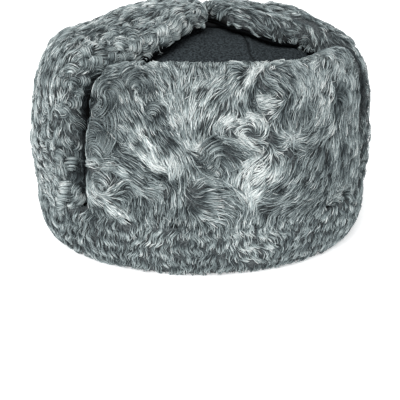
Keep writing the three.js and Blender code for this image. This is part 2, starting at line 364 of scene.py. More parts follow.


# What all locks have alike: the spread of lengths, widths and heights, how late a lock draws together,
# how many strands stray and by what degrees, the strands' own sway, the depth of their roots, and the painted
# highlight on each lock's crest.
lockForm = {
    "lengths": (0.75, 1.25), "widths": (0.75, 1.25), "heights": (-0.4, 0.6), "drawn": 1.3, "wildShare": 0.08,
    "wild": 22, "tame": 7, "ownSway": 0.35, "ownWaves": 1.3, "root": -1.2, "arch": 0.8, "crestHighlight": 0.10,
}


# Combed locks: each lock follows the combing from its root by short steps, and its strands start
# side by side and draw together towards its tip. They rise from the hide and lie down again.
def combedLocks(combed, x, y, look):
    steps, each, form = look["steps"], look["strands"], lockForm
    locks, count = len(x), len(x) * each
    repeatAll = lambda a: np.repeat(a, each, 0)
    length = look["length"] * random.uniform(*form["lengths"], locks)
    spread = look["lockWidth"] / 2
    radius, bearing = np.sqrt(random.uniform(0, 1, count)) * spread, random.uniform(0, 2 * np.pi, count)
    middle = tracedPath(combed, x, y, length / (steps - 1), steps)
    ownX, ownY = repeatAll(x) + radius * np.cos(bearing), repeatAll(y) + radius * np.sin(bearing)
    own = tracedPath(combed, ownX, ownY, repeatAll(length) / (steps - 1), steps)
    t = np.linspace(0, 1, steps)
    path = mix(own, repeatAll(middle), (1 - look["tip"]) * t[None, :, None] ** form["drawn"])
    wild = random.uniform(0, 1, count) < form["wildShare"]
    stray = np.radians(random.normal(0, np.where(wild, form["wild"], form["tame"])))[:, None]
    gone = path - path[:, :1]
    path = path[:, :1] + np.stack(turned(gone[..., 0], gone[..., 1], stray), -1)
    phase = repeatAll(random.uniform(0, 1, locks))[:, None]
    sway = look["sway"] * np.sin(2 * np.pi * (look["waves"] * t[None] + phase))
    phase = random.uniform(0, 1, count)[:, None]
    waves = form["ownWaves"] * look["waves"]
    sway = sway + form["ownSway"] * look["sway"] * np.sin(2 * np.pi * (waves * t[None] + phase))
    along = unit(np.gradient(path, axis=1))
    path = path + np.stack([-along[..., 1], along[..., 0]], -1) * (sway * t[None])[..., None]
    arch = np.sin(np.pi * np.clip(t * 0.95 + 0.02, 0, 1)) ** form["arch"]
    crest = 1 - (radius / spread) ** 2
    shingle = repeatAll(random.uniform(0, look["shingle"], locks))
    height = look["height"] + shingle + crest * look["crest"] + random.uniform(*form["heights"], count)
    lift = form["root"] + height[:, None] * arch[None]
    tone = repeatAll(look["lockContrast"] * random.normal(0, 1, locks))
    tone = tone + look["strandContrast"] * random.normal(0, 1, count) + form["crestHighlight"] * (crest - 0.5)
    width = look["width"] * random.uniform(*form["widths"], count)
    light = combed(path[..., 0], path[..., 1])[2]
    tone = 0.5 + look.get("contrast", 1.25) * (light - 0.5) + tone[:, None] * smooth(light, 0, 0.3)
    return path, lift, width, tone


# Follows the combing from a place by equal steps.
def tracedPath(combed, x, y, step, steps):
    path = [np.stack([x, y], -1)]
    for _ in range(steps - 1):
        heading = np.stack(combed(path[-1][:, 0], path[-1][:, 1])[:2], -1)
        path.append(path[-1] + heading * step[:, None])
    return np.stack(path, 1)


# What all curls have alike: the spread of sizes, pivots, arcs, domes, lifts and widths, how a reading's
# width and roundness set size and pivot, and how strands lie between a lump's inner and outer side.
curlForm = {
    "sizes": (0.8, 1.2), "pivots": (0.25, 1.1), "readSize": 0.6, "readPivots": (2.2, 0.1), "shells": (-0.85, 1.0),
    "least": 0.15, "core": 1.4, "cores": (0.3, 1), "arcs": (0.75, 1.1), "longestArc": 1.5, "starts": 0.16,
    "bent": 0.12, "closing": 0.12, "sunk": 0.25, "domes": (0.75, 1.25), "lifts": (-0.3, 0.5), "widths": (0.75, 1.25),
}


# Curls: lumps with strands bowed side by side over them, all round one pivot beside the lump's
# middle. A lump is a dome, so its strands' ends dive between it and the next. given holds curls that
# were read, and shapes their matrices.
def curledLumps(combed, x, y, look, given=None, shapes=None):
    steps, each, lumps, form = look["steps"], look["strands"], len(x), curlForm
    count = lumps * each
    repeatAll = lambda a: np.repeat(a, each, 0)
    upright = lambda a: a[:, None]
    size = look["lump"] / 2 * random.uniform(*form["sizes"], lumps)
    east, north, light = combed(x, y)
    lean = np.arctan2(north, east) + random.normal(0, look["disorder"], lumps)
    pivotFar = size * random.uniform(*form["pivots"], lumps)
    if given is not None:
        size, lean, light = given[:, 4] * form["readSize"], np.radians(given[:, 2]), given[:, 3]
        pivotFar = size * mix(*form["readPivots"], given[:, 5])
    size, lean, pivotFar, centreX, centreY = (repeatAll(a) for a in (size, lean, pivotFar, x, y))
    turn = repeatAll(random.choice([-1, 1], lumps))
    side = lean - turn * np.pi / 2 if given is None else lean + np.pi
    pivotX, pivotY = centreX + pivotFar * np.cos(side), centreY + pivotFar * np.sin(side)
    radius = pivotFar + size * mix(*form["shells"], random.uniform(0.0, 1.0, count))
    radius = np.maximum(radius, form["least"] * size + form["core"] * random.uniform(*form["cores"], count))
    half = np.minimum(size * random.uniform(*form["arcs"], count) / radius, form["longestArc"])
    t = np.linspace(-1, 1, steps)
    start = side + np.pi + turn * random.normal(0, form["starts"], count)
    bent = turn * form["bent"] * random.normal(0, 1, count)
    angle = upright(start) + upright(turn * half) * t[None] + upright(bent) * t[None] ** 2
    far = upright(radius) * (1 - form["closing"] * (t[None] + 1) / 2)
    placeX, placeY = upright(pivotX) + far * np.cos(angle), upright(pivotY) + far * np.sin(angle)
    offX, offY = placeX - upright(centreX), placeY - upright(centreY)
    far = np.hypot(offX, offY) / upright(size)
    if given is not None:
        bend = upright(repeatAll(shapes))
        placeX = upright(centreX) + bend[..., 0, 0] * offX + bend[..., 0, 1] * offY
        placeY = upright(centreY) + bend[..., 1, 0] * offX + bend[..., 1, 1] * offY
    dome = np.sqrt(np.clip(1 - far ** 2, 0, 1)) - form["sunk"] * np.clip(far - 1, 0, 1)
    lift = look.get("rise", -0.8) + look["dome"] * dome * upright(repeatAll(random.uniform(*form["domes"], lumps)))
    lift = lift + upright(random.uniform(*form["lifts"], count))
    tone = repeatAll(light + look["lockContrast"] * random.normal(0, 1, lumps))
    tone = tone + look["strandContrast"] * random.normal(0, 1, count)
    width = look["width"] * random.uniform(*form["widths"], count)
    return np.stack([placeX, placeY], -1), lift, width, np.repeat(upright(tone), steps, 1)


# Materials start here. A node with some of its inputs set, their names written with _ for a space.
def newNode(tree, kind, **inputs):
    made = tree.nodes.new(kind)
    for socket, value in inputs.items():
        made.inputs[socket.replace("_", " ")].default_value = value
    return made


# A material with its tree and its shader.
def newMaterial(name):
    material = bpy.data.materials.new(name)
    material.use_nodes = True
    return material, material.node_tree, material.node_tree.nodes["Principled BSDF"]


# The product of two sockets.
def multiplied(tree, first, second):
    product = newNode(tree, "ShaderNodeMath")
    product.operation = "MULTIPLY"
    tree.links.new(first, product.inputs[0])
    tree.links.new(second, product.inputs[1])
    return product.outputs[0]


# A value turned into a colour by stops, each a position and a colour.
def coloured(tree, value, stops):
    ramp = newNode(tree, "ShaderNodeValToRGB")
    for end, (position, colour) in zip(ramp.color_ramp.elements, (stops[0], stops[-1])):
        end.position, end.color = position, (*colour, 1)
    for position, colour in stops[1:-1]:
        ramp.color_ramp.elements.new(position).color = (*colour, 1)
    tree.links.new(value, ramp.inputs["Fac"])
    return ramp.outputs["Color"]


woolTones = [
    (0.0, (0.010, 0.012, 0.014)), (0.28, (0.072, 0.092, 0.099)), (0.55, (0.262, 0.312, 0.318)),
    (0.78, (0.505, 0.575, 0.58)), (1.0, (0.86, 0.90, 0.89)),
]


# The colour of a strand: its tone darkened towards the root as painted shade deep in the fur, then read from dark
# wool to pale tip.
def buildFurTone():
    group = bpy.data.node_groups.new("furTone", "ShaderNodeTree")
    for name in ("Gain", "RootShade"):
        group.interface.new_socket(name=name, in_out="INPUT", socket_type="NodeSocketFloat")
    group.interface.new_socket(name="Color", in_out="OUTPUT", socket_type="NodeSocketColor")
    start, end = group.nodes.new("NodeGroupInput"), group.nodes.new("NodeGroupOutput")
    place, split = group.nodes.new("ShaderNodeUVMap"), group.nodes.new("ShaderNodeSeparateXYZ")
    place.uv_map = "OFBake"
    group.links.new(place.outputs["UV"], split.inputs[0])
    rootShade = newNode(group, "ShaderNodeMapRange", From_Max=0.6, To_Max=1.0)
    rootShade.interpolation_type = "SMOOTHSTEP"
    group.links.new(split.outputs["Y"], rootShade.inputs["Value"])
    group.links.new(start.outputs["RootShade"], rootShade.inputs["To Min"])
    tone = multiplied(group, split.outputs["X"], rootShade.outputs["Result"])
    tone = multiplied(group, tone, start.outputs["Gain"])
    group.links.new(coloured(group, tone, woolTones), end.inputs["Color"])
    return group


furTone = buildFurTone()


# Fur: the strands' colour on a dull shader.
def furMaterial(name, look):
    material, tree, shader = newMaterial(name)
    tone = tree.nodes.new("ShaderNodeGroup")
    tone.node_tree = furTone
    tone.inputs["Gain"].default_value = look["gain"]
    tone.inputs["RootShade"].default_value = look["root"]
    tree.links.new(tone.outputs["Color"], shader.inputs["Base Color"])
    shader.inputs["Roughness"].default_value = look["roughness"]
    shader.inputs["Specular IOR Level"].default_value = look["specular"]
    return material


# A hide or cloth: two colours mottled by a noise, darkened by the piece's painted shade attribute where it has one.
def hideMaterial(name, dark, light, scale, sheen=0.2, paintedShade=False):
    material, tree, shader = newMaterial(name)
    place = tree.nodes.new("ShaderNodeTexCoord")
    noise = newNode(tree, "ShaderNodeTexNoise", Scale=scale, Detail=4.0, Roughness=0.65)
    tree.links.new(place.outputs["Object"], noise.inputs["Vector"])
    colour = coloured(tree, noise.outputs["Fac"], [(0.35, dark), (0.7, light)])
    if paintedShade:
        depth, shade = tree.nodes.new("ShaderNodeAttribute"), tree.nodes.new("ShaderNodeVectorMath")
        depth.attribute_name, shade.operation = "shade", "SCALE"
        tree.links.new(colour, shade.inputs[0])
        tree.links.new(depth.outputs["Fac"], shade.inputs["Scale"])
        colour = shade.outputs[0]
    tree.links.new(colour, shader.inputs["Base Color"])
    bump = newNode(tree, "ShaderNodeBump", Strength=0.8, Distance=0.001)
    tree.links.new(noise.outputs["Fac"], bump.inputs["Height"])
    tree.links.new(bump.outputs["Normal"], shader.inputs["Normal"])
    shader.inputs["Roughness"].default_value = 0.9
    shader.inputs["Specular IOR Level"].default_value = sheen
    return material


# root is how much of its tone a strand keeps at its root: painted shade deep in the fur.
furLook = {"gain": 1.16, "root": 0.45, "roughness": 0.66, "specular": 0.16}
silkyFur = furMaterial("silkyFur", furLook)
curledFur = furMaterial("curledFur", dict(furLook, gain=1.3))
bandFur = furMaterial("bandFur", dict(furLook, gain=1.155))
# The hide's dark colours stand for the shade deep between the strands: painted shade as well as the skin's own
# colour.
hide = hideMaterial("hide", (0.02, 0.024, 0.027), (0.15, 0.17, 0.175), 900, paintedShade=True)
woolCloth = hideMaterial("woolCloth", (0.005, 0.0065, 0.0075), (0.06, 0.074, 0.082), 720, 0.08, paintedShade=True)
# The facing is near-black: its own dark cloth together with painted shade under the flaps' edges.
facingCloth = hideMaterial("facingCloth", (0.001, 0.0012, 0.0015), (0.005, 0.006, 0.007), 1400, 0.04)
tieRibbon = hideMaterial("tieRibbon", (0.006, 0.007, 0.008), (0.016, 0.018, 0.020), 2200)
print("materials made")

# The crown: gores of felted wool with sunk seams. swell fills it under the left flap's front edge.
crownLook = {
    "gores": 4, "foot": 8.8, "seamAngle": 20, "seamTwist": 50, "twistOver": (10, 60), "seamDip": 1.3,
    "seamWidth": 1.7, "seamFrom": (2, 14), "puff": 0.5, "puffFar": 4, "puffWidth": 2.5, "seamShade": 0.6,
    "shadeWidth": 1.0, "closer": 0.93,
    "swell": {"height": 8.5, "reach": 75, "length": 19, "angle": 66, "width": 22},
}


# The crown's surface inside and out, with dips along the seams, which twist towards the top, and painted shade along
# the seams.
def makeCrown():
    columns, rows, gores = 104, 32, crownLook["gores"]
    foot = crownLength - crownLook["foot"]
    perGore = columns // gores
    within = closerAtEnds(np.arange(perGore) / perGore, crownLook["closer"]) / gores
    share = (np.arange(gores)[:, None] / gores + within[None]).ravel()
    reach = foot * (1 - np.arange(rows) / rows) + 0.5
    reach, share = np.meshgrid(reach, share, indexing="ij")
    twist = crownLook["seamTwist"] * (1 - smooth(reach, *crownLook["twistOver"]))
    angle = crownLook["seamAngle"] + twist + 360 * share
    gore = (share * gores + 0.5) % 1 - 0.5
    fromSeam = np.abs(gore) / gores * 2 * np.pi * np.minimum(reach, crownRadius * climbed(domeLength - reach)[0])
    started = smooth(reach, *crownLook["seamFrom"])
    sunk = crownLook["seamDip"] * np.exp(-((fromSeam / crownLook["seamWidth"]) ** 2)) * started
    puff = crownLook["puff"] * np.exp(-(((fromSeam - crownLook["puffFar"]) / crownLook["puffWidth"]) ** 2))
    swell, fromFront = crownLook["swell"], (angle + 180) % 360 - 180
    swollen = ((reach - swell["reach"]) / swell["length"]) ** 2
    swollen = swell["height"] * np.exp(-swollen - ((fromFront - swell["angle"]) / swell["width"]) ** 2)
    outside = onCrown(reach, angle, puff - sunk + swollen)
    inside = onCrown(reach, angle, -crownForm["wall"])[::-1]
    top, topInside = onCrown(0.0, 0.0, 0.0), onCrown(0.0, 0.0, -crownForm["wall"])
    points = np.concatenate([outside.reshape(-1, 3), top[None], inside.reshape(-1, 3), topInside[None]])
    ring = np.arange(columns)
    following = np.roll(ring, -1)
    last, inner = (rows - 1) * columns, rows * columns + 1
    triangles = []
    for start in (0, inner):
        for row in range(rows - 1):
            low = start + row * columns + ring
            triangles += betweenRings(low, low + columns)
    triangles.append(np.stack([last + ring, last + following, np.full(columns, inner - 1)], 1))
    triangles.append(np.stack([np.full(columns, 2 * inner - 1), inner + following, inner + ring], 1))
    triangles += betweenRings(inner + last + ring, ring)
    # painted shade in the seams' grooves, seamShade deep and shadeWidth wide
    line = 1 - crownLook["seamShade"] * np.exp(-((fromSeam / crownLook["shadeWidth"]) ** 2)) * started
    shade = np.concatenate([line.ravel(), np.ones(len(points) - line.size)])
    return newMesh("crownCloth", points, np.concatenate(triangles), woolCloth, shade=shade)


finishPiece(makeCrown(), "wool_cloth", "crown")
print("crown made")

# The band of short fur round the rim. Its hair hangs in ripples, and at the back it is thinner.
bandLook = {
    "roundWidth": 11, "roundHeight": 26, "standing": 0.8, "crease": 1.2, "creaseLength": 4, "hideShare": 0.955,
    "spacing": 4.92, "frontShare": 0.31, "backHair": 0.45, "paleBack": 0.9,
}
bandRipples = {"swing": 0.42, "every": 9, "drift": 0.3, "rowsEvery": 8.5, "tone": 0.16}
bandStrands = {
    "steps": 4, "length": 8, "strands": 11, "lockWidth": 4.8, "tip": 0.7, "sway": 0.38, "waves": 0.9, "height": 1.4,
    "shingle": 1.0, "crest": 0.5, "width": 0.46, "lockContrast": 0.07, "strandContrast": 0.11,
}
bandCombing = combing([(-55, 26, -95, 0.6, 9), (0, 27, -60, 0.75, 8), (40, 26, -100, 0.5, 9)], -90)


# The band stands out from the crown by the fur's thickness. Its foot curves in by a quarter circle,
# and its top has a crease.
def bandSheet(x, y):
    angle = angleAt(x)
    height = np.clip(y, 0, None)
    belly = np.sqrt(1 - np.clip(1 - height / bandLook["roundHeight"], 0, 1) ** 2)
    crease = bandLook["crease"] * (1 - rolledEdge(furForm["bandHeight"] + 1.5 - y, bandLook["creaseLength"]))
    offset = furThickness(angle) + furForm["sewn"] + bandLook["standing"]
    offset = offset - bandLook["roundWidth"] * (1 - belly) - crease
    return onCrown(crownLength - height, angle, offset - np.clip(-y, 0, None))


# Closed rings from the fold inside the crown's edge, round it and up the band's outer side.
def makeBandHide():
    columns, outerRings = 144, 12
    angle = np.linspace(0, 360, columns, endpoint=False)
    across = np.radians(angle) * crownRadius
    fold, sewn, wall = furForm["bandFold"], furForm["sewn"], crownForm["wall"]
    folded = ((furForm["bandHeight"], sewn), (fold, sewn), (fold, -wall), (0, -wall))
    rings = [onCrown(crownLength - height, angle, offset) for height, offset in folded]
    for height in furForm["bandHeight"] * np.linspace(0, 1, outerRings) ** 1.3:  # closer at the foot
        core = onCrown(crownLength - height, angle, 0)
        rings.append(core + (bandSheet(across, np.full(columns, height)) - core) * bandLook["hideShare"])
    count, ring = len(rings), np.arange(columns)
    triangles = []
    for row in range(count):
        triangles += betweenRings(row * columns + ring, (row + 1) % count * columns + ring)
    # The hide's painted shade between the strands is lightened towards the back, by up to paleBack.
    shade = np.tile(1 + bandLook["paleBack"] * smooth(-np.cos(np.radians(angle)), -0.2, 0.4), count)
    return newMesh("bandHide", np.stack(rings).reshape(-1, 3), np.concatenate(triangles), hide, shade=shade)


finishPiece(makeBandHide(), "band_fur", "fur_band")


# The band's combing with its heading swinging and its tone swelling in rows round the hat.
def bandFlow(x, y):
    east, north, light = bandCombing(x, y)
    swing = bandRipples["swing"] * np.sin(2 * np.pi * y / bandRipples["every"] + 0.9 * np.sin(x / 11))
    swing = swing + bandRipples["drift"] * np.sin(x / 7.3 + 1.7 * np.sin(y / 8))
    row = y / bandRipples["rowsEvery"] + 0.35 * np.sin(x / 13) + 0.2 * np.sin(x / 5.1)
    row = 0.5 + 0.5 * np.sin(2 * np.pi * row)
    return *turned(east, north, swing), light + bandRipples["tone"] * (row - 0.5)


# Locks all round the band, fewer at the back.
def makeBandFur():
    around = 2 * np.pi * crownRadius

    def onBand(x, y):
        share = np.where(np.abs(x) < around * bandLook["frontShare"], 1.0, bandLook["backHair"])
        return (y < 37) & (y > 1.0) & (random.uniform(0, 1, x.shape) < share)

    x, y = scatter(around, furForm["bandHeight"] + 4, bandLook["spacing"], onBand)
    growFur("bandFur", "band_fur", bandSheet, combedLocks(bandFlow, x, y, bandStrands), bandFur)


makeBandFur()
print("band made")

# The visor: long silky hair combed in swirls, turned up on the front. Its upper corner on the
# wearer's left stands out.
visorLook = {
    "halfAngle": 59, "length": 94.8, "slope": 7.5, "cornerExtra": 4, "cornerDrop": 6, "widening": 0.05,
    "standing": 12, "standingAcross": (0.55, 1), "standingUp": (40, 78), "crease": 0.05,
    "spacing": 5.75, "underSpacing": 6.9, "resting": -95, "crinkle": (9, 9),
}
visorSides = {"deep": 6, "length": 15, "back": 2}
visorTopEdge = {"deep": 8, "length": 16}
visorWidth = 2 * np.radians(visorLook["halfAngle"]) * crownRadius
creaseLength = 6  # how far up from a flap's seam its crease reaches
hideFoot = 0.6  # how far up from its seam a flap's hide starts
hideDepth = 1.0  # how far under the fur sheet its face lies


# The visor's length at an angle: a flat parabola, dropped at the wearer's right corner by the share's
# eighth power and 1 mm longer at the left one.
def visorTop(angle):
    share = angle / visorLook["halfAngle"]
    corner = np.where(share < 0, -visorLook["cornerDrop"] * np.abs(share) ** 8, smooth(share, 0.75, 1))
    return visorLook["length"] - visorLook["slope"] * (share + 0.2) ** 2 + corner


# The visor widens a little upwards, where its corners lie under the ear flaps' edges.
def visorAngle(x, y):
    return angleAt(x) * (1 + visorLook["widening"] * smooth(y, 15, 85))


# A place over the visor's rolled sides and top: its height up the visor, its angle, and the shares
# of the full thickness that the sides and the top leave it.
def visorPlace(x, y):
    x, sideHeight = overSides(x, visorWidth, visorSides)
    y, topHeight = overTop(y, visorTop(angleAt(x)), visorTopEdge)
    return y, visorAngle(x, y), sideHeight, topHeight


# The visor's hair: the fur's thickness over the crown, more towards its corners, less at its crease.
def visorSheet(x, y):
    y, angle, sideHeight, topHeight = visorPlace(x, y)
    share = angle / visorLook["halfAngle"]
    thick = furForm["front"] + visorLook["cornerExtra"] * share ** 2
    standing = visorLook["standing"] * smooth(share, *visorLook["standingAcross"])
    thick = thick + standing * smooth(y, *visorLook["standingUp"])
    crease = 1 - visorLook["crease"] + visorLook["crease"] * rolledEdge(y + 1.5, creaseLength)
    return onCrown(rimReach - y, angle, furForm["seat"] + thick * sideHeight * topHeight * crease)


# Where the visor lies on the crown.
def visorSeat(x, y):
    y, angle = visorPlace(x, y)[:2]
    return onCrown(rimReach - y, angle, furForm["seat"])


# A hide under a fur sheet, between the seat on the crown and just under the hair.
def hideUnder(name, sheet, columns, rows, chart, seat, material, pale=1.0):
    def face(u, v):
        x, y = chart(u, v)
        here, below = sheet(x, y), seat(x, y)
        return here + unit(below - here) * hideDepth

    return slab(name, columns, rows, face, lambda u, v: seat(*chart(u, v)), material, pale)


# Shares across and up a turned-up flap, as lengths over its rolled sides and top.
def turnedUpChart(width, sides, top, topEdge):
    def chart(u, v):
        x = mix(-1, 1, u) * (width / 2 + grown(sides))
        return x, mix(hideFoot, top(angleAt(overSides(x, width, sides)[0])) + grown(topEdge), v)

    return chart


# Whether a place is on a turned-up flap, from a lowest height on.
def turnedUpInside(width, lowest, top, topEdge):
    return lambda x, y: (np.abs(x) < width / 2) & (y > lowest) & (y < top(angleAt(x)) + grown(topEdge))


visorChart = turnedUpChart(visorWidth, visorSides, visorTop, visorTopEdge)
visorHide = hideUnder("visorHide", visorSheet, 60, 30, visorChart, visorSeat, hide)
finishPiece(visorHide, "silky_fur", "visor")
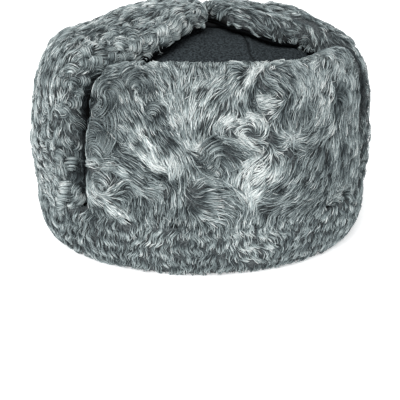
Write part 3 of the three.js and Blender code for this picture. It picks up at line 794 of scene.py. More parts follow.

# The visor's hair as read off two enlargements of the front. Each mark is how far across and
# down it lies, its heading there in degrees, its brightness 0 to 1, and its reach if not the usual one.
# Their brightnesses are the hair's own tone with painted highlights and painted shade in them, dark in folds and pale
# on the bright streaks.
visorReadings = [
    {"corner": (85, 55), "zoom": 7, "marks": [
        (190, 140, 30, .5), (260, 105, 25, .5), (330, 80, 10, .6, 3), (450, 85, -10, .72, 3), (520, 100, -35, .6),
        (590, 150, -50, .5), (340, 205, -60, .65, 2), (390, 235, -70, .25, 3), (290, 235, -60, .28, 3),
        (320, 160, 20, .45, 3), (170, 205, -50, .9, 2), (205, 250, -55, .97, 2), (245, 310, -60, .95, 2),
        (100, 250, 35, .45, 4), (150, 330, -20, .3, 5), (90, 330, -30, .38, 4), (190, 400, -60, .3, 4),
        (60, 300, -80, .35, 4), (300, 285, -70, .88, 3), (360, 295, -75, .88, 3), (415, 290, -80, .7, 3),
        (350, 380, -60, .45, 4), (280, 360, -65, .5, 4), (420, 350, -60, .55, 4), (440, 150, -45, .55, 3),
        (480, 220, -50, .6, 4), (560, 330, -55, .62, 4), (640, 470, -58, .6, 4), (700, 580, -60, .6, 4),
        (590, 230, -80, .62, 4), (650, 200, -95, .6, 4), (700, 200, -110, .62, 4), (780, 250, -115, .68, 4),
        (850, 200, -140, .7, 3), (930, 190, 175, .7, 3), (960, 240, -160, .7, 3), (900, 260, -125, .72, 3),
        (870, 180, -160, .6, 3), (640, 330, -82, .68, 4), (660, 420, -85, .72, 4), (730, 420, -100, .74, 4),
        (800, 430, -105, .74, 4), (870, 400, -112, .72, 4), (930, 370, -112, .74, 4), (885, 335, -105, .25, 1.8),
        (812, 500, -105, .3, 2), (920, 470, -115, .7, 3), (700, 520, -85, .6, 3), (760, 570, -95, .42, 3),
        (840, 560, -110, .5, 3), (470, 370, -110, .6, 2), (505, 350, 60, .55, 2), (520, 440, -60, .22, 3),
        (470, 440, -70, .3, 3), (430, 440, -60, .4, 3), (600, 460, -48, .85, 2), (630, 515, -50, .85, 2),
        (665, 570, -55, .7, 2.5), (700, 635, -55, .65, 2.5), (560, 530, -45, .4, 3), (600, 600, -45, .38, 3),
        (640, 660, -45, .42, 3), (520, 570, -50, .45, 3), (740, 642, 0, .85, 2.5), (815, 655, 80, 1.0, 3),
        (850, 620, 40, .4, 2.5), (285, 520, -60, .6, 2.5), (320, 580, -50, .55, 2.5), (250, 560, -50, .5, 2.5),
        (390, 540, -60, .72, 2), (430, 610, -62, .85, 2), (470, 680, -65, .82, 2), (510, 740, -60, .68, 2),
        (275, 640, -5, .65, 2), (360, 620, -50, .45, 2.5), (410, 660, -50, .5, 2), (330, 650, -30, .8, 1.5),
        (390, 690, -38, .88, 2), (450, 740, -35, .92, 2), (510, 790, -30, .95, 2), (545, 810, -10, .95, 2),
        (545, 850, -30, .15, 2.5), (560, 760, -50, .6, 3), (610, 730, -85, .92, 3), (650, 760, -88, .95, 3),
        (620, 820, -85, .9, 3), (675, 720, -85, .85, 3), (650, 895, -60, .22, 3), (600, 890, -60, .3, 2.5),
        (735, 930, 50, .65, 2.5), (765, 890, 55, .6, 2.5), (545, 920, 70, .65, 2.5), (460, 970, -15, .7, 3),
        (400, 950, -20, .6, 3), (720, 780, -75, .5, 3), (755, 840, -100, .5, 3), (700, 900, -130, .45, 3),
        (700, 700, -60, .55, 3), (870, 700, -90, .6, 3), (890, 760, -55, .6, 3), (940, 790, -15, .62, 3),
        (960, 700, -90, .45, 2.5), (910, 660, 170, .62, 3), (960, 640, 170, .65, 3), (850, 820, -35, .55, 3),
        (930, 850, -8, .55, 4), (800, 780, -60, .55, 3), (950, 500, 180, .92, 3), (910, 605, 10, .22, 2.5),
        (965, 580, 10, .25, 2.5), (80, 420, -15, .55, 4), (180, 440, -10, .55, 4), (130, 480, -20, .5, 4),
        (50, 500, -80, .45, 4), (100, 600, -70, .62, 3), (180, 600, -80, .66, 3), (200, 650, -60, .22, 3),
        (60, 660, -80, .4, 4), (120, 690, -20, .45, 4), (300, 720, -20, .32, 4), (340, 760, -40, .32, 4),
        (400, 790, -40, .5, 3), (230, 700, -20, .4, 3), (60, 770, 15, .6, 4), (130, 775, 0, .62, 4),
        (210, 790, -25, .62, 4), (290, 830, -35, .6, 4), (360, 880, -35, .55, 4), (440, 880, -30, .5, 4),
        (55, 860, -100, .6, 4), (75, 940, -60, .62, 4), (130, 975, -5, .65, 3), (175, 930, 50, .62, 3),
        (170, 860, 120, .6, 3), (110, 840, 170, .6, 3), (270, 920, 60, .55, 4), (230, 960, 50, .55, 4),
        (310, 950, -60, .5, 4), (70, 985, -35, .75, 2.5), (130, 1030, -38, .78, 2.5), (200, 1075, -40, .78, 2.5),
        (270, 1120, -35, .75, 2.5), (60, 1080, -70, .45, 4), (130, 1110, -50, .5, 4), (250, 1020, -55, .5, 4),
        (350, 1010, -120, .5, 4), (400, 1060, -80, .5, 4), (480, 1060, -95, .42, 4), (560, 1010, -95, .5, 4),
        (650, 1010, -95, .52, 4), (730, 1030, -85, .5, 4), (800, 1010, 25, .52, 4), (860, 990, 15, .55, 4),
        (940, 940, 10, .55, 4), (785, 1072, -20, .2, 2.5), (860, 1100, -15, .75, 3), (930, 1120, -15, .7, 3),
        (560, 1100, -90, .5, 4), (660, 1110, -85, .5, 4), (420, 1120, -70, .5, 4),
    ]},
    {"corner": (205, 45), "zoom": 6, "marks": [
        (60, 130, -90, .5, 4), (20, 170, -60, .55, 4), (130, 150, -120, .5, 4), (200, 140, 160, .5, 4),
        (200, 200, -130, .5, 4), (120, 210, -140, .6, 4), (60, 240, -130, .6, 4), (30, 330, -115, .62, 4),
        (120, 300, -110, .55, 4), (60, 400, -110, .55, 4), (430, 110, 15, .68, 3), (500, 92, 5, .68, 3),
        (560, 100, -20, .62, 3), (620, 140, -60, .6, 3), (640, 210, -85, .6, 4), (470, 140, -20, .55, 3),
        (550, 170, -50, .5, 4), (500, 200, -45, .48, 4), (390, 122, -140, .9, 2.5), (335, 160, -142, .97, 2.5),
        (275, 200, -130, 1.0, 3), (235, 250, -112, .95, 3), (205, 310, -95, .8, 3), (215, 380, -70, .65, 3),
        (165, 230, -125, .7, 3), (160, 320, -110, .6, 3), (300, 215, -115, .25, 2.5), (272, 280, -95, .2, 2.5),
        (285, 345, -60, .25, 2.5), (320, 400, -15, .28, 2.5), (180, 370, -60, .32, 3), (235, 410, -25, .35, 2.5),
        (360, 190, -25, .48, 3), (420, 215, -30, .48, 4), (470, 260, -50, .45, 4), (500, 310, -80, .38, 3),
        (400, 260, -15, .45, 3), (340, 270, -30, .42, 3), (440, 330, 170, .7, 3), (380, 320, 175, .82, 3),
        (330, 335, 180, .85, 2.5), (410, 365, 172, .78, 2.5), (350, 385, 160, .7, 2.5), (480, 370, -120, .3, 3),
        (460, 420, -120, .28, 3), (525, 250, -95, .25, 2), (520, 320, -100, .28, 2.5), (575, 220, -88, .6, 3),
        (600, 280, -95, .6, 3), (590, 330, -130, .85, 2), (550, 370, -132, .85, 2), (525, 400, -125, .7, 2),
        (560, 420, -110, .35, 3), (620, 380, -60, .3, 3), (600, 430, -100, .35, 4), (660, 80, 45, .55, 3),
        (700, 55, 10, .58, 3), (745, 55, -30, .6, 3), (780, 95, -70, .55, 3), (690, 110, -130, .6, 3),
        (730, 130, -110, .55, 3), (655, 150, -115, .6, 3), (690, 200, -100, .68, 3.5), (720, 260, -98, .7, 3.5),
        (735, 330, -100, .72, 3), (710, 390, -108, .66, 3.5), (670, 440, -112, .6, 3.5), (650, 300, -100, .6, 3.5),
        (640, 500, -125, .5, 4), (790, 250, -95, .15, 2.5), (785, 330, -95, .15, 2.5), (780, 400, -95, .22, 3),
        (800, 160, -100, .6, 3), (775, 200, -95, .62, 2.5), (840, 110, -100, .5, 3), (870, 180, -95, .52, 3),
        (880, 280, -95, .5, 3), (870, 380, -95, .5, 3), (850, 460, -100, .45, 4), (840, 240, -95, .4, 3),
        (900, 120, -90, .4, 3), (420, 405, 175, .9, 3), (350, 420, 185, .95, 3), (270, 440, 178, .98, 3),
        (190, 418, 185, .95, 3), (120, 450, 200, .97, 3), (95, 490, -100, .95, 3), (130, 520, -45, .97, 3),
        (200, 555, -33, .97, 3), (270, 590, -20, .92, 3), (330, 590, 30, .9, 2.5), (370, 520, 75, .75, 3),
        (330, 480, 110, .9, 3), (270, 500, 160, .92, 2.5), (220, 490, 200, .9, 2.5), (350, 600, -100, .8, 2.5),
        (170, 478, 180, .5, 1.5), (110, 550, -35, .4, 2.5), (170, 600, -30, .42, 3), (240, 640, -15, .4, 3),
        (60, 540, -30, .4, 3), (420, 480, -80, .35, 3), (440, 540, -10, .5, 3), (395, 590, -70, .3, 3),
        (470, 545, -10, .7, 2.5), (500, 510, -88, .6, 2.5), (540, 555, 180, .7, 2.5), (510, 590, 90, .65, 2.5),
        (470, 600, 55, .85, 2), (430, 620, 40, .5, 3), (590, 560, 178, .6, 3), (560, 500, -130, .5, 3),
        (600, 610, 165, .5, 3), (530, 640, 100, .45, 3), (480, 450, -60, .35, 4), (540, 450, -80, .38, 4),
        (700, 560, -130, .62, 2.5), (750, 510, -125, .6, 2.5), (640, 560, -150, .5, 3), (700, 480, -110, .4, 3),
        (770, 590, -90, .68, 2.5), (765, 650, -95, .6, 2.5), (820, 640, -95, .15, 3), (830, 560, -80, .4, 4),
        (880, 560, -90, .42, 4), (860, 700, -100, .4, 4), (800, 740, -100, .4, 4), (700, 640, -100, .35, 4),
        (740, 700, -100, .25, 3), (650, 620, -120, .42, 4), (70, 620, 5, .6, 3), (140, 640, -15, .6, 3),
        (190, 700, -60, .6, 3), (180, 770, -110, .5, 3), (130, 745, -100, .28, 3), (90, 680, -20, .55, 3),
        (120, 710, -60, .5, 3), (40, 700, -60, .5, 3), (90, 790, -130, .5, 3), (30, 780, -20, .55, 3),
        (380, 655, -150, .82, 3), (305, 690, -155, .84, 3), (245, 740, -142, .86, 3), (205, 800, -105, .84, 3),
        (215, 860, -72, .86, 3), (250, 905, -62, .84, 2.5), (265, 935, -90, .88, 2), (420, 640, -40, .75, 3),
        (435, 690, -75, .82, 3), (425, 740, -112, .8, 3), (385, 790, -140, .85, 3), (330, 830, -142, .9, 3),
        (290, 880, -118, .88, 2.5), (300, 770, -140, .9, 3), (260, 820, -110, .92, 3), (340, 720, -150, .9, 3),
        (320, 860, -120, .22, 2), (480, 720, -108, .5, 4), (520, 800, -120, .48, 4), (450, 860, -135, .48, 4),
        (390, 890, -150, .5, 3), (540, 700, -100, .45, 4), (600, 760, -110, .42, 4), (560, 860, -130, .42, 4),
        (660, 840, -120, .4, 4), (480, 930, -160, .5, 4), (560, 950, -150, .48, 4), (640, 930, -140, .45, 4),
        (380, 940, 170, .5, 3), (750, 935, 38, .68, 2.5), (800, 890, 38, .68, 2.5), (840, 855, 40, .6, 2.5),
        (850, 780, -100, .4, 4), (720, 880, -110, .4, 4), (700, 790, -110, .35, 4), (60, 860, -15, .5, 4),
        (130, 900, -30, .5, 4), (60, 920, -20, .5, 4), (150, 850, -60, .5, 3), (190, 920, -50, .5, 3),
        (100, 960, -15, .55, 4),
    ]},
]


# Where the camera sees a point: its place on the 400 wide picture.
def onPicture(point):
    turn, tilt = np.radians(photoView["turn"]), np.radians(photoView["tilt"])
    back = np.array([np.sin(turn) * np.cos(tilt), -np.cos(turn) * np.cos(tilt), np.sin(tilt)])
    right = np.array([np.cos(turn), np.sin(turn), 0])
    seen = point - np.array(photoView["place"])
    scale = photoView["lens"] / 36 * 400 / -(seen @ back)
    return np.stack([200 + scale * (seen @ right), 200 - scale * (seen @ np.cross(back, right))], -1)


# The readings found on a fur sheet: for each, the nearest place of a fine grid as the camera sees it,
# and the grid's slopes there.
def foundOn(sheet, grid, readings):
    x, y = np.meshgrid(*grid)
    seen = onPicture(sheet(x, y))
    slopeX, slopeY = np.gradient(seen, axis=1), np.gradient(seen, axis=0)
    for reading in readings:
        for across, down, heading, *rest in reading["marks"]:
            spot = np.array([across, down]) / reading["zoom"] + reading["corner"]
            nearest = np.unravel_index(np.argmin(((seen - spot) ** 2).sum(-1)), x.shape)
            slopes = np.stack([slopeX[nearest], slopeY[nearest]], 1)
            yield x[nearest], y[nearest], slopes, heading, rest


usualReach = 4  # of a mark, in millimetres
mostStretch = 1.1  # of a curl that is seen at a slant


# Marks laid on a fur sheet, with their headings turned by its slopes.
def laidMarks(sheet, grid, readings):
    marks = []
    for x, y, slopes, heading, rest in foundOn(sheet, grid, readings):
        way = np.array([np.cos(np.radians(heading)), -np.sin(np.radians(heading))])
        flat = np.linalg.solve(slopes, way)
        marks.append((x, y, np.degrees(np.arctan2(flat[1], flat[0])), *(rest + [usualReach])[:2]))
    return marks


# Curls laid on a fur sheet, and for each the matrix that turns an offset on the picture into one on
# the sheet. Their headings stay as read.
def laidCurls(sheet, grid, readings):
    curls, shapes = [], []
    for x, y, slopes, heading, rest in foundOn(sheet, grid, readings):
        turn, sizes, back = np.linalg.svd(np.linalg.inv(slopes) @ np.array([[1, 0], [0, -1]]))
        shapes.append(turn @ np.diag(np.minimum(sizes, mostStretch)) @ back)
        curls.append((x, y, heading, *rest))
    return np.array(curls), np.array(shapes)


visorGrid = np.arange(-104, 104.5, 0.5), np.arange(0, 101, 0.5)
visorMarks = laidMarks(visorSheet, visorGrid, visorReadings)
visorCombing = crinkled(combing(visorMarks, visorLook["resting"]), *visorLook["crinkle"])
visorStrands = {
    "steps": 4, "length": 11, "strands": 15, "lockWidth": 5.8, "tip": 0.75, "sway": 0.4, "waves": 1.0, "height": 1.5,
    "shingle": 1.2, "crest": 0.8, "width": 0.4, "contrast": 1.14, "lockContrast": 0.05, "strandContrast": 0.17,
}
visorUnder = dict(visorStrands, height=0.7, shingle=0.8, width=0.55)
visorCurls = {
    "steps": 5, "strands": 34, "lump": 11, "disorder": 0.9, "dome": 1.8, "rise": 1.6, "width": 0.4,
    "lockContrast": 0.04, "strandContrast": 0.15,
}

# Its small curls by the slit and at the other corner, and a few between the swirls. Each is how far
# across and down it lies, where its bow points, its brightness (the hair's tone with painted highlight and shade in
# it), its width there and its roundness 0 to 1.
visorCurlReadings = [{"corner": (0, 0), "zoom": 1, "marks": [
    (102, 90, 150, .5, 11, .6), (97, 97, 60, .42, 9, .5), (112, 99, 20, .46, 11, .6), (119, 90, 60, .48, 10, .5),
    (105, 112, -40, .42, 11, .5), (114, 121, 20, .48, 10, .5), (100, 125, 60, .42, 11, .5), (96, 139, 90, .45, 9, .5),
    (108, 143, -20, .44, 11, .5), (101, 152, 60, .5, 10, .4), (137, 82, 100, .5, 11, .7), (147, 87, 20, .42, 9, .6),
    (129, 77, 120, .5, 9, .5), (155, 112, 90, .42, 9, .8), (329, 57, 70, .6, 11, .7), (341, 60, 40, .5, 11, .6),
    (347, 70, 20, .5, 10, .4), (347, 84, 0, .5, 10, .4), (344, 98, 30, .48, 10, .4), (104, 183, 60, .5, 11, .8),
    (212, 150, 120, .45, 12, .5), (210, 160, -30, .42, 10, .5),
]}]


# Curls first, then a flat layer of locks, then the long locks over it.
def makeVisorFur():
    curls, shapes = laidCurls(visorSheet, visorGrid, visorCurlReadings)
    lumps = curledLumps(visorCombing, curls[:, 0], curls[:, 1], visorCurls, curls, shapes)
    growFur("visorCurls", "silky_fur", visorSheet, lumps, silkyFur)
    width, length = visorWidth + 2 * grown(visorSides), visorLook["length"] + grown(visorTopEdge)
    onVisor = turnedUpInside(width, -1, visorTop, visorTopEdge)
    layers = (("visorUnderFur", visorUnder, "underSpacing"), ("visorFur", visorStrands, "spacing"))
    for name, look, spacing in layers:
        x, y = scatter(width, length, visorLook[spacing], onVisor)
        growFur(name, "silky_fur", visorSheet, combedLocks(visorCombing, x, y, look), silkyFur)


makeVisorFur()
print("visor made")

# The neck flap: curled fleece turned up at the back, lowest in its middle.
neckLook = {"halfAngle": 55, "length": 82, "dip": 8, "crease": 0.15, "spacing": 10.4, "loose": 0.2, "pale": 1.9}
neckSides = {"deep": 5, "length": 12}
neckTopEdge = {"deep": 10, "length": 17}
neckWidth = 2 * np.radians(neckLook["halfAngle"]) * crownRadius
neckCurls = {
    "steps": 4, "strands": 25, "lump": 13, "disorder": 0.9, "dome": 2.2, "width": 0.9,
    "lockContrast": 0.08, "strandContrast": 0.15,
}


# The neck flap's length at an angle: a parabola.
def neckTop(angle):
    return neckLook["length"] - neckLook["dip"] * (1 - (angle / neckLook["halfAngle"]) ** 2)


# A place over its rolled sides and top: its reach, its angle, and its share of the full thickness.
def neckPlace(x, y):
    x, sideHeight = overSides(x, neckWidth, neckSides)
    angle = angleAt(x)
    y, topHeight = overTop(y, neckTop(angle), neckTopEdge)
    crease = 1 - neckLook["crease"] + neckLook["crease"] * rolledEdge(y + 1.5, creaseLength)
    return rimReach - y, 180 + angle, sideHeight * topHeight * crease


# The neck flap's hair and its seat: the fur's thickness over the crown, and the crown itself.
def neckSheet(x, y):
    reach, angle, height = neckPlace(x, y)
    return onCrown(reach, angle, furForm["seat"] + furThickness(angle) * height)


def neckSeat(x, y):
    return onCrown(*neckPlace(x, y)[:2], furForm["seat"])


def makeNeckFlap():
    chart = turnedUpChart(neckWidth, neckSides, neckTop, neckTopEdge)
    # Its hide is pale times lighter, with less painted shade between the curls than at the front.
    neckHide = hideUnder("neckHide", neckSheet, 48, 24, chart, neckSeat, hide, neckLook["pale"])
    finishPiece(neckHide, "curled_fur", "neck_flap")
    width, length = neckWidth + 2 * grown(neckSides), neckLook["length"] + grown(neckTopEdge)
    onNeck = turnedUpInside(width, 1, neckTop, neckTopEdge)
    x, y = scatter(width, length, neckLook["spacing"], onNeck, neckLook["loose"])
    growFur("neckFur", "curled_fur", neckSheet, curledLumps(combing([], -90), x, y, neckCurls), curledFur)


makeNeckFlap()
print("neck flap made")

# The ear flaps, turned up over the crown to meet at its top.
flapLook = {
    "frontWidth": 41, "rearWidth": 62, "slit": 4, "shoulderLift": 13, "tip": 10, "narrowing": 0.7, "bulge": 7,
    "gap": 3, "shift": 4, "facing": 1.5, "inset": 1.2, "tie": 2, "crease": 0.05, "edge": 0.15,
    "straight": (0.42, 0.85), "narrowed": (0.75, 1), "shifted": (0.5, 1), "onTie": (0.5, 0.8), "dropped": (0.42, 0.6),
}
flapSides = {"deep": 14, "length": 25, "back": 2.5}
flapTip = {"deep": 9, "length": 15, "back": 1}
flapWidth = flapLook["frontWidth"] + flapLook["rearWidth"]
flapLength = rimReach

# What differs between the wearer's left, 1, and right, -1. form is, along the flap, how far it stands
# off the crown and how much of its thickness is gone. drop and hang set how low the fur of its long
# edges ends, forward is how far its front edge bulges, paintedShade holds the painted shade beside the visor and a
# tone added to all its hair, and the rest is for its hair.
flapOwn = {
    1: {
        "form": ((0, 0, 0), (0.2, 0.2, 0), (0.45, 0.93, 0.07), (0.64, 0.66, 0.5), (0.8, 0.32, 0.85), (1, 0, 0.95)),
        "drop": 0.2, "hang": 0.18, "forward": 0, "paintedShade": (10, 18, 44, 86, -0.045),
        "lumpSpacing": 10.4, "lockSpacing": (5.6, 8.0),
    },
    -1: {
        "form": ((0, 0, 0), (0.2, 0.2, 0), (0.48, 0.82, 0.07), (0.65, 0.42, 0.62), (0.8, 0.38, 0.82), (1, 0.3, 0.85)),
        "drop": 0.3, "hang": 0.0, "forward": 9, "paintedShade": (0, 8, -9, 92, 0.03),
        "lumpSpacing": 9.8, "lockSpacing": (5.35, 8.0),
    },
}


# The flap's form at a share of its length, eased from one step to the next.
def formAt(side, v, column):
    form, v = np.array(flapOwn[side]["form"]), np.clip(v, 0, 1)
    step = np.clip(np.searchsorted(form[:, 0], v) - 1, 0, len(form) - 2)
    low, high = form[step], form[step + 1]
    return mix(low[..., column], high[..., column], smooth(v, low[..., 0], high[..., 0]))


# Where an ear flap lies on the flattened crown: up the meridians as far as the shoulder, and from
# there straight across to its narrowed tip.
def flapSpot(side, u, v, inset):
    widened = 1 + visorLook["widening"] * smooth(v, 0.1, 0.5)
    frontAngle = np.radians(visorLook["halfAngle"]) * widened + flapLook["slit"] / crownRadius
    rearAngle = np.radians(180 - neckLook["halfAngle"]) - furForm["sewn"] / crownRadius
    share = u if side > 0 else 1 - u
    fromMiddle = 2 * share - 1
    tipReach = flapLook["gap"] / 2 + flapLook["bulge"] * fromMiddle ** 2 + inset
    reach = mix(rimReach - furForm["sewn"] - inset, tipReach, v)
    angle = mix(frontAngle + inset / crownRadius, rearAngle - inset / crownRadius, share)
    narrowing = mix(1, flapLook["narrowing"], smooth(v, *flapLook["narrowed"]) ** 2)
    halfWidth = (flapWidth / 2 - inset) * narrowing
    back = (flapLook["rearWidth"] - flapLook["frontWidth"]) / 2 + halfWidth * fromMiddle
    forward = flapOwn[side]["forward"] * smooth(-fromMiddle, 0, 1)
    forward = forward * smooth(v, 0.4, 0.62) * (1 - smooth(v, 0.68, 0.92))
    straight = smooth(v, *flapLook["straight"])
    shift = flapLook["shift"] * smooth(v, *flapLook["shifted"])
    across = side * mix(reach * np.sin(angle), reach, straight) + shift
    return across, mix(-reach * np.cos(angle), back, straight) - forward


# How high a flap's underside lies over the crown: on its shoulder, and on the ribbon at its tip.
def flapLift(side, v):
    onTie = smooth(v, *flapLook["onTie"]) * (furForm["seat"] + flapLook["tie"])
    return furForm["seat"] + np.maximum(formAt(side, v, 1) * flapLook["shoulderLift"], onTie)


# The height at which the fur of an ear flap's long edges ends over the facing, as a share of its
# thickness: lower by a drop from the shoulder on, and by hang along the part that is seen most.
def furLow(side, v):
    own = flapOwn[side]
    hanging = own["hang"] * smooth(v, 0.42, 0.52) * (1 - smooth(v, 0.6, 0.75))
    return flapLook["edge"] - own["drop"] * smooth(v, *flapLook["dropped"]) - hanging


# A place over a flap's rolled sides and tip: where it lies, the height of its hide's underside, its
# share of the full thickness, and how far along the flap it is.
def flapPlace(side, x, y):
    y, tipHeight = overTop(y, flapLength, flapTip, flapLook["edge"])
    v = y / flapLength
    x, sideHeight = overSides(x, flapWidth, flapSides, furLow(side, v))
    across, back = flapSpot(side, x / flapWidth + 0.5, v, 0)
    crease = 1 - flapLook["crease"] + flapLook["crease"] * rolledEdge(y + 1.5, creaseLength)
    under = flapLift(side, v) + flapLook["facing"] + furForm["sewn"]
    return across, back, under, sideHeight * tipHeight * crease, v


# An ear flap's hair over its hide's underside: thick at its seam, thin at its tip.
def flapSheet(side):
    def sheet(x, y):
        across, back, under, height, v = flapPlace(side, x, y)
        full = mix(furForm["side"] - flapLook["facing"], flapLook["tip"], formAt(side, v, 2)) + 0.5
        return onFlatCrown(across, back, under + full * height)

    return sheet


# The hide's underside itself.
def flapSeat(side):
    return lambda x, y: onFlatCrown(*flapPlace(side, x, y)[:3])


# Shares across and along an ear flap, as lengths over its rolled sides and tip.
def flapChart(u, v):
    return mix(-1, 1, u) * (flapWidth / 2 + grown(flapSides)), v * (flapLength + grown(flapTip))


# The flaps as read off the front: marks as on the visor, and beside the slit curls as well.
# Their brightnesses, and those of the curls below, are the hair's own tone with painted highlights and painted shade
# in them.
flapReadings = {-1: [{"corner": (0, 0), "zoom": 1, "marks": [
    (120, 14, -165, .6), (105, 20, -160, .5), (90, 25, -155, .55), (75, 32, -145, .55), (62, 40, -135, .5),
    (50, 50, -125, .55), (43, 62, -115, .5), (40, 75, -100, .45), (38, 90, -95, .56), (36, 105, -92, .61),
    (34, 120, -90, .71), (34, 135, -88, .68), (36, 150, -75, .56), (38, 163, -65, .56), (38, 180, -85, .46),
    (41, 195, -75, .51), (44, 208, -65, .56), (49, 218, -60, .51), (145, 6, -170, .65), (165, 5, -175, .55),
    (185, 5, 180, .6), (150, 12, -160, .35, 3), (135, 15, -165, .45, 3), (130, 20, -150, .2, 2), (118, 20, -150, .4),
    (105, 27, -150, .33, 3), (95, 32, -140, .3, 3), (88, 34, -135, .2, 2.5), (78, 38, -135, .4), (70, 45, -130, .45),
    (60, 52, -120, .4), (52, 62, -115, .38, 3), (47, 75, -105, .33, 3), (45, 90, -100, .39, 3), (85, 42, -120, .6),
    (75, 55, -110, .5), (66, 60, -115, .45), (57, 68, -110, .62, 3), (51, 80, -100, .55, 3), (57, 84, -100, .62, 3),
    (49, 96, -80, .68, 2.5), (44, 104, -70, .46), (50, 112, -60, .48), (43, 125, -75, .56), (50, 130, -60, .51),
    (46, 142, -50, .46), (44, 155, -55, .56), (52, 150, -60, .51), (52, 165, -65, .56), (46, 172, -55, .61),
    (52, 185, -70, .56), (47, 195, -60, .51), (52, 205, -60, .56), (56, 215, -75, .51), (64, 218, -85, .68),
    (72, 214, -100, .46), (66, 120, -80, .48), (75, 118, -60, .41), (80, 130, -70, .39), (80, 160, -80, .25),
    (80, 175, -80, .2), (79, 188, -60, .3), (84, 200, 40, .56), (84, 210, -80, .41),
]}], 1: [{"corner": (0, 0), "zoom": 1, "marks": [
    (215, 3, -30, .5), (225, 10, -35, .64), (235, 16, -30, .64), (245, 20, -25, .6), (235, 6, -20, .45),
    (250, 8, -30, .45), (262, 8, -30, .5), (250, 14, 20, .62, 3), (258, 19, -30, .5, 3), (265, 21, -135, .5, 3),
    (262, 27, -100, .55, 3), (270, 12, -60, .5), (278, 8, -40, .45), (290, 12, -50, .5), (300, 15, -40, .5),
    (310, 18, -40, .5), (320, 25, -45, .45), (330, 30, -30, .5), (340, 35, -45, .45), (283, 25, -100, .62, 3),
    (289, 25, -95, .66, 3), (288, 33, -80, .76, 2.5), (275, 30, -125, .35, 3), (280, 34, -80, .35, 2.5),
    (295, 34, -90, .2, 2.5), (303, 26, -80, .68, 3), (304, 34, -85, .72, 2.5), (313, 32, -75, .82, 2.5),
    (315, 40, -80, .7, 2.5), (303, 42, -70, .5, 3), (325, 33, -60, .66, 3), (322, 41, -30, .6, 3),
    (331, 38, -60, .35, 3), (336, 43, -60, .4), (345, 42, -50, .5), (352, 47, -60, .5), (360, 55, -70, .5),
    # The marks of brightness 0 and 0.05 at 359 to 360 across are painted shade in the gap between the visor and this
    # flap.
    (365, 70, -80, .42), (366, 85, -85, .38), (368, 100, -90, .42), (359, 66, -90, 0, 3), (360, 75, -90, 0, 3),
    (360, 84, -90, 0, 3), (360, 93, -90, 0.05, 3), (366, 110, -95, .5), (364, 125, -100, .5), (362, 140, -95, .42),
    (363, 155, -90, .5), (362, 172, -85, .42), (360, 190, -95, .5), (358, 205, -90, .4),
]}]}
curlReadings = [{"corner": (0, 0), "zoom": 1, "marks": [
    (177, 16, 130, .7, 13, .2), (174, 27, -30, .77, 13, .3), (175, 36, -90, .57, 9, .6), (163, 20, 60, .57, 11, .4),
    (162, 30, 20, .73, 12, .4), (164, 41, -20, .4, 9, .5), (150, 30, 30, .77, 12, .3), (153, 42, -20, .6, 11, .4),
    (146, 48, -60, .35, 8, .5), (136, 34, 90, .63, 15, .6), (136, 48, 0, .6, 12, .5), (134, 57, -60, .45, 8, .5),
    (120, 43, 80, .6, 15, .6), (125, 57, 10, .45, 11, .5), (113, 57, -10, .43, 10, .5), (108, 64, -20, .37, 9, .5),
    (101, 47, 100, .61, 14, .5), (97, 61, 0, .47, 12, .5), (88, 66, -20, .38, 10, .4), (86, 52, 20, .53, 11, .4),
    (84, 62, 10, .48, 9, .4), (71, 73, 90, .66, 17, .95), (84, 80, 0, .42, 11, .5), (72, 87, -60, .48, 11, .4),
    (64, 97, 60, .67, 12, .7), (75, 103, 10, .57, 14, .7), (63, 107, -60, .45, 10, .5), (79, 93, 60, .47, 9, .6),
    (60, 128, 20, .67, 14, .3), (72, 127, -30, .51, 12, .4), (70, 140, 0, .45, 11, .5), (58, 142, 180, .49, 10, .4),
    (76, 150, -30, .47, 9, .5), (60, 155, 60, .55, 11, .5), (71, 163, 80, .5, 13, .4), (62, 172, 0, .57, 12, .3),
    (76, 178, -20, .29, 11, .4), (64, 187, 90, .61, 12, .4), (75, 190, 150, .41, 11, .5), (79, 198, -40, .63, 12, .3),
    (63, 200, 70, .55, 12, .5), (72, 207, -60, .55, 10, .5), (60, 213, -90, .6, 10, .5), (150, 17, 100, .4, 10, .4),
    (140, 24, 90, .5, 10, .4), (127, 30, 110, .45, 10, .5), (115, 33, 100, .37, 11, .4), (104, 35, 110, .37, 9, .4),
    (93, 38, 120, .28, 10, .4), (78, 48, 130, .4, 11, .4), (66, 55, 140, .36, 11, .4), (60, 66, 150, .4, 9, .5),
]}]
flapCurls = {
    "steps": 5, "strands": 21, "lump": 11, "disorder": 0.9, "dome": 2.2, "width": 0.44,
    "lockContrast": 0.06, "strandContrast": 0.13,
}
flapReadCurls = dict(flapCurls, strands=44, width=0.38, dome=1.9, rise=0.2)
flapSmallCurls = dict(flapCurls, strands=15, width=0.4, lump=9, dome=1.8, rise=-0.4)
flapUnder = {
    "steps": 4, "length": 8, "strands": 10, "lockWidth": 5.0, "tip": 0.6, "sway": 0.6, "waves": 1.0, "height": 1.2,
    "shingle": 1.2, "crest": 0.6, "width": 0.41, "lockContrast": 0.06, "strandContrast": 0.13,
}
flapGrid = np.arange(-62, 63.0), np.arange(0, 160.0)
unseenMarks = [(-30, 60, -80, 0.5, 20), (-30, 130, -120, 0.5, 20)]
flapHair = {"resting": -90, "crinkle": (14, 22), "sight": 9, "smallSpacing": 7.0, "smallFrom": 4.5, "smallTo": 13}


facingLook = {"across": (0.86, 0.97), "along": (0.38, 0.5), "rise": 0.9, "sink": 0.12}


# The facing, padded along its front edge: there its face rises to the fur and its back sinks a
# little towards the crown, a near-black wall that is painted shade under the flap's edge as well as facing.
def facingFace(side, upper):
    def face(u, v):
        front = smooth(1 - u if side > 0 else u, *facingLook["across"]) * smooth(v, *facingLook["along"])
        lift = flapLift(side, v)
        full = mix(furForm["side"], flapLook["tip"], formAt(side, v, 2))
        over = lift + flapLook["facing"] + front * np.clip(furLow(side, v), 0, 1) * full * facingLook["rise"]
        under = mix(lift, furForm["seat"], facingLook["sink"] * front)
        return onFlatCrown(*flapSpot(side, u, v, flapLook["inset"]), over if upper else under)

    return face
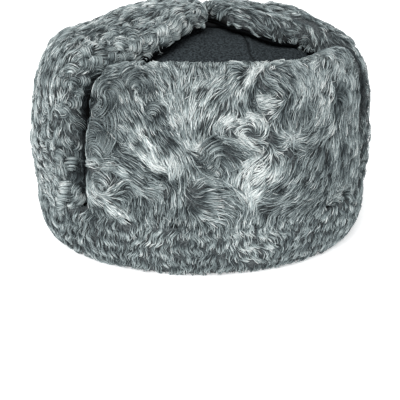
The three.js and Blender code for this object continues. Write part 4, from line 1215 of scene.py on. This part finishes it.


# Painted shade on the hair beside the visor, deep between the two pieces: dark from the edge to one
# length in, light from the other on, and only between two heights up the flap. brighter is added to the tone all over
# the flap.
def edgePaintedShade(combed, dark, light, low, high, brighter):
    def at(x, y):
        east, north, tone = combed(x, y)
        e = flapWidth / 2 + grown(flapSides) - np.abs(x)
        beside = smooth(y, low - 6, low + 6) * (1 - smooth(y, high - 6, high + 6))
        return east, north, (tone + brighter) * (1 - beside * (1 - smooth(e, dark, light)))

    return at


# The hide and the facing of a flap.
def makeFlapBase(name, side, earFlap, facing):
    flapHide = hideUnder(name + "Hide", flapSheet(side), 36, 48, flapChart, flapSeat(side), hide)
    finishPiece(flapHide, "curled_fur", earFlap)
    cloth = slab(name + "Facing", 26, 30, facingFace(side, True), facingFace(side, False), facingCloth)
    finishPiece(cloth, "facing_cloth", facing)


# Its hair: flat locks, dense where the photo shows the flap and sparse elsewhere, then the curls that
# were read with small ones between them, and loose curls where nothing was read.
def makeFlapFur(name, side):
    sheet, own = flapSheet(side), flapOwn[side]
    marks = laidMarks(sheet, flapGrid, flapReadings[side]) + unseenMarks
    combed = crinkled(combing(marks, flapHair["resting"]), *flapHair["crinkle"])
    combed = edgePaintedShade(combed, *own["paintedShade"])
    width, length = flapWidth + 2 * grown(flapSides), flapLength + grown(flapTip)
    onFlap = lambda x, y: (np.abs(x) < width / 2) & (y > 1) & (y < length)
    read = np.array(marks)[:, :2]
    if side < 0:
        curls, shapes = laidCurls(sheet, flapGrid, curlReadings)
        read = np.concatenate([read, curls[:, :2]])
    farFrom = lambda x, y, places: np.hypot(x[:, None] - places[:, 0], y[:, None] - places[:, 1])
    seen = lambda x, y: (farFrom(x, y, read) < flapHair["sight"]).any(1)
    dense, sparse = (scatter(width, length, spacing, onFlap) for spacing in own["lockSpacing"])
    inSight, outOfSight = seen(*dense), ~seen(*sparse)
    x, y = (np.concatenate([a[inSight], b[outOfSight]]) for a, b in zip(dense, sparse))
    growFur(name + "UnderFur", "curled_fur", sheet, combedLocks(combed, x, y, flapUnder), curledFur)
    if side < 0:
        lumps = curledLumps(combed, curls[:, 0], curls[:, 1], flapReadCurls, curls, shapes)
        growFur(name + "Curls", "curled_fur", sheet, lumps, curledFur)
        x, y = scatter(width, length, flapHair["smallSpacing"], onFlap)
        far = farFrom(x, y, curls).min(1)
        between = (far > flapHair["smallFrom"]) & (far < flapHair["smallTo"])
        lumps = curledLumps(combed, x[between], y[between], flapSmallCurls)
        growFur(name + "SmallCurls", "curled_fur", sheet, lumps, curledFur)
    x, y = scatter(width, length, own["lumpSpacing"], onFlap)
    unread = ~seen(x, y)
    lumps = curledLumps(combed, x[unread], y[unread], flapCurls)
    growFur(name + "Fur", "curled_fur", sheet, lumps, curledFur)


flapNodes = (("leftFlap", 1, "ear_flap_left", "facing_left"), ("rightFlap", -1, "ear_flap_right", "facing_right"))
for name, side, earFlap, facing in flapNodes:
    makeFlapBase(name, side, earFlap, facing)
    makeFlapFur(name, side)
print("ear flaps made")

tieLook = {"length": 44, "width": 12}


# The ribbon under the flaps' tips: a flat slab on the crown's top.
def makeTie():
    length, width, seat = tieLook["length"], tieLook["width"], furForm["seat"]
    layer = lambda offset: lambda u, v: onFlatCrown((u - 0.5) * length, (v - 0.5) * width, offset + 0 * u)
    return slab("flapTie", 24, 6, layer(seat + flapLook["tie"]), layer(seat), tieRibbon)


finishPiece(makeTie(), "ribbon", "flap_tie")

# Floor, light and camera.
studio = {
    "floor": (0.93, 0.935, 0.94), "floorHalf": 6000, "glow": 0.42, "world": 0.6, "backdrop": 1.15,
    "sun": 2.6, "sunFrom": (-0.7, -0.9, 1.0), "softness": 45,
}


# A broad sun from the front left.
def makeSun():
    lamp = bpy.data.lights.new("keyLight", "SUN")
    lamp.energy, lamp.angle = studio["sun"], np.radians(studio["softness"])
    holder = bpy.data.objects.new("keyLight", lamp)
    holder.location = studio["sunFrom"]
    holder.rotation_euler = (-Vector(studio["sunFrom"])).to_track_quat("-Z", "Y").to_euler()
    bpy.context.scene.collection.objects.link(holder)


# An even white world, brighter where the camera sees it than where it lights the hat.
def makeWorld():
    world = bpy.data.worlds.new("studioWorld")
    world.use_nodes = True
    tree = world.node_tree
    background = tree.nodes["Background"]
    seen = tree.nodes.new("ShaderNodeLightPath")
    strength = newNode(tree, "ShaderNodeMapRange", To_Min=studio["world"], To_Max=studio["backdrop"])
    tree.links.new(seen.outputs["Is Camera Ray"], strength.inputs["Value"])
    tree.links.new(strength.outputs["Result"], background.inputs["Strength"])
    background.inputs["Color"].default_value = (1, 1, 1, 1)
    bpy.context.scene.world = world
    bpy.context.scene.view_settings.view_transform = "Standard"


# The photo's own camera.
def makeCamera():
    camera = bpy.data.objects.new("photoCamera", bpy.data.cameras.new("photoCamera"))
    camera.data.lens, camera.data.sensor_width = photoView["lens"], 36
    camera.location = np.array(photoView["place"]) / 1000
    camera.rotation_euler = (np.radians(90 - photoView["tilt"]), 0, np.radians(photoView["turn"]))
    bpy.context.scene.collection.objects.link(camera)
    bpy.context.scene.camera = camera


# The studio round the hat. The floor comes back.
def makeStudio():
    material, tree, shader = newMaterial("studioFloor")
    shader.inputs["Base Color"].default_value = (*studio["floor"], 1)
    shader.inputs["Roughness"].default_value = 0.9
    shader.inputs["Emission Color"].default_value = (1, 1, 1, 1)
    shader.inputs["Emission Strength"].default_value = studio["glow"]
    half = studio["floorHalf"]
    corners = [(-half, -half, 0), (half, -half, 0), (half, half, 0), (-half, half, 0)]
    floor = newMesh("floor", corners, [(0, 1, 2), (0, 2, 3)], material)
    makeSun()
    makeWorld()
    makeCamera()
    return floor


makeStudio()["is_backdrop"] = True
print("studio made")

triangles = {piece.name: len(piece.data.polygons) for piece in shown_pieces()}
print("triangles", sum(triangles.values()), max(triangles.items(), key=lambda each: each[1]))
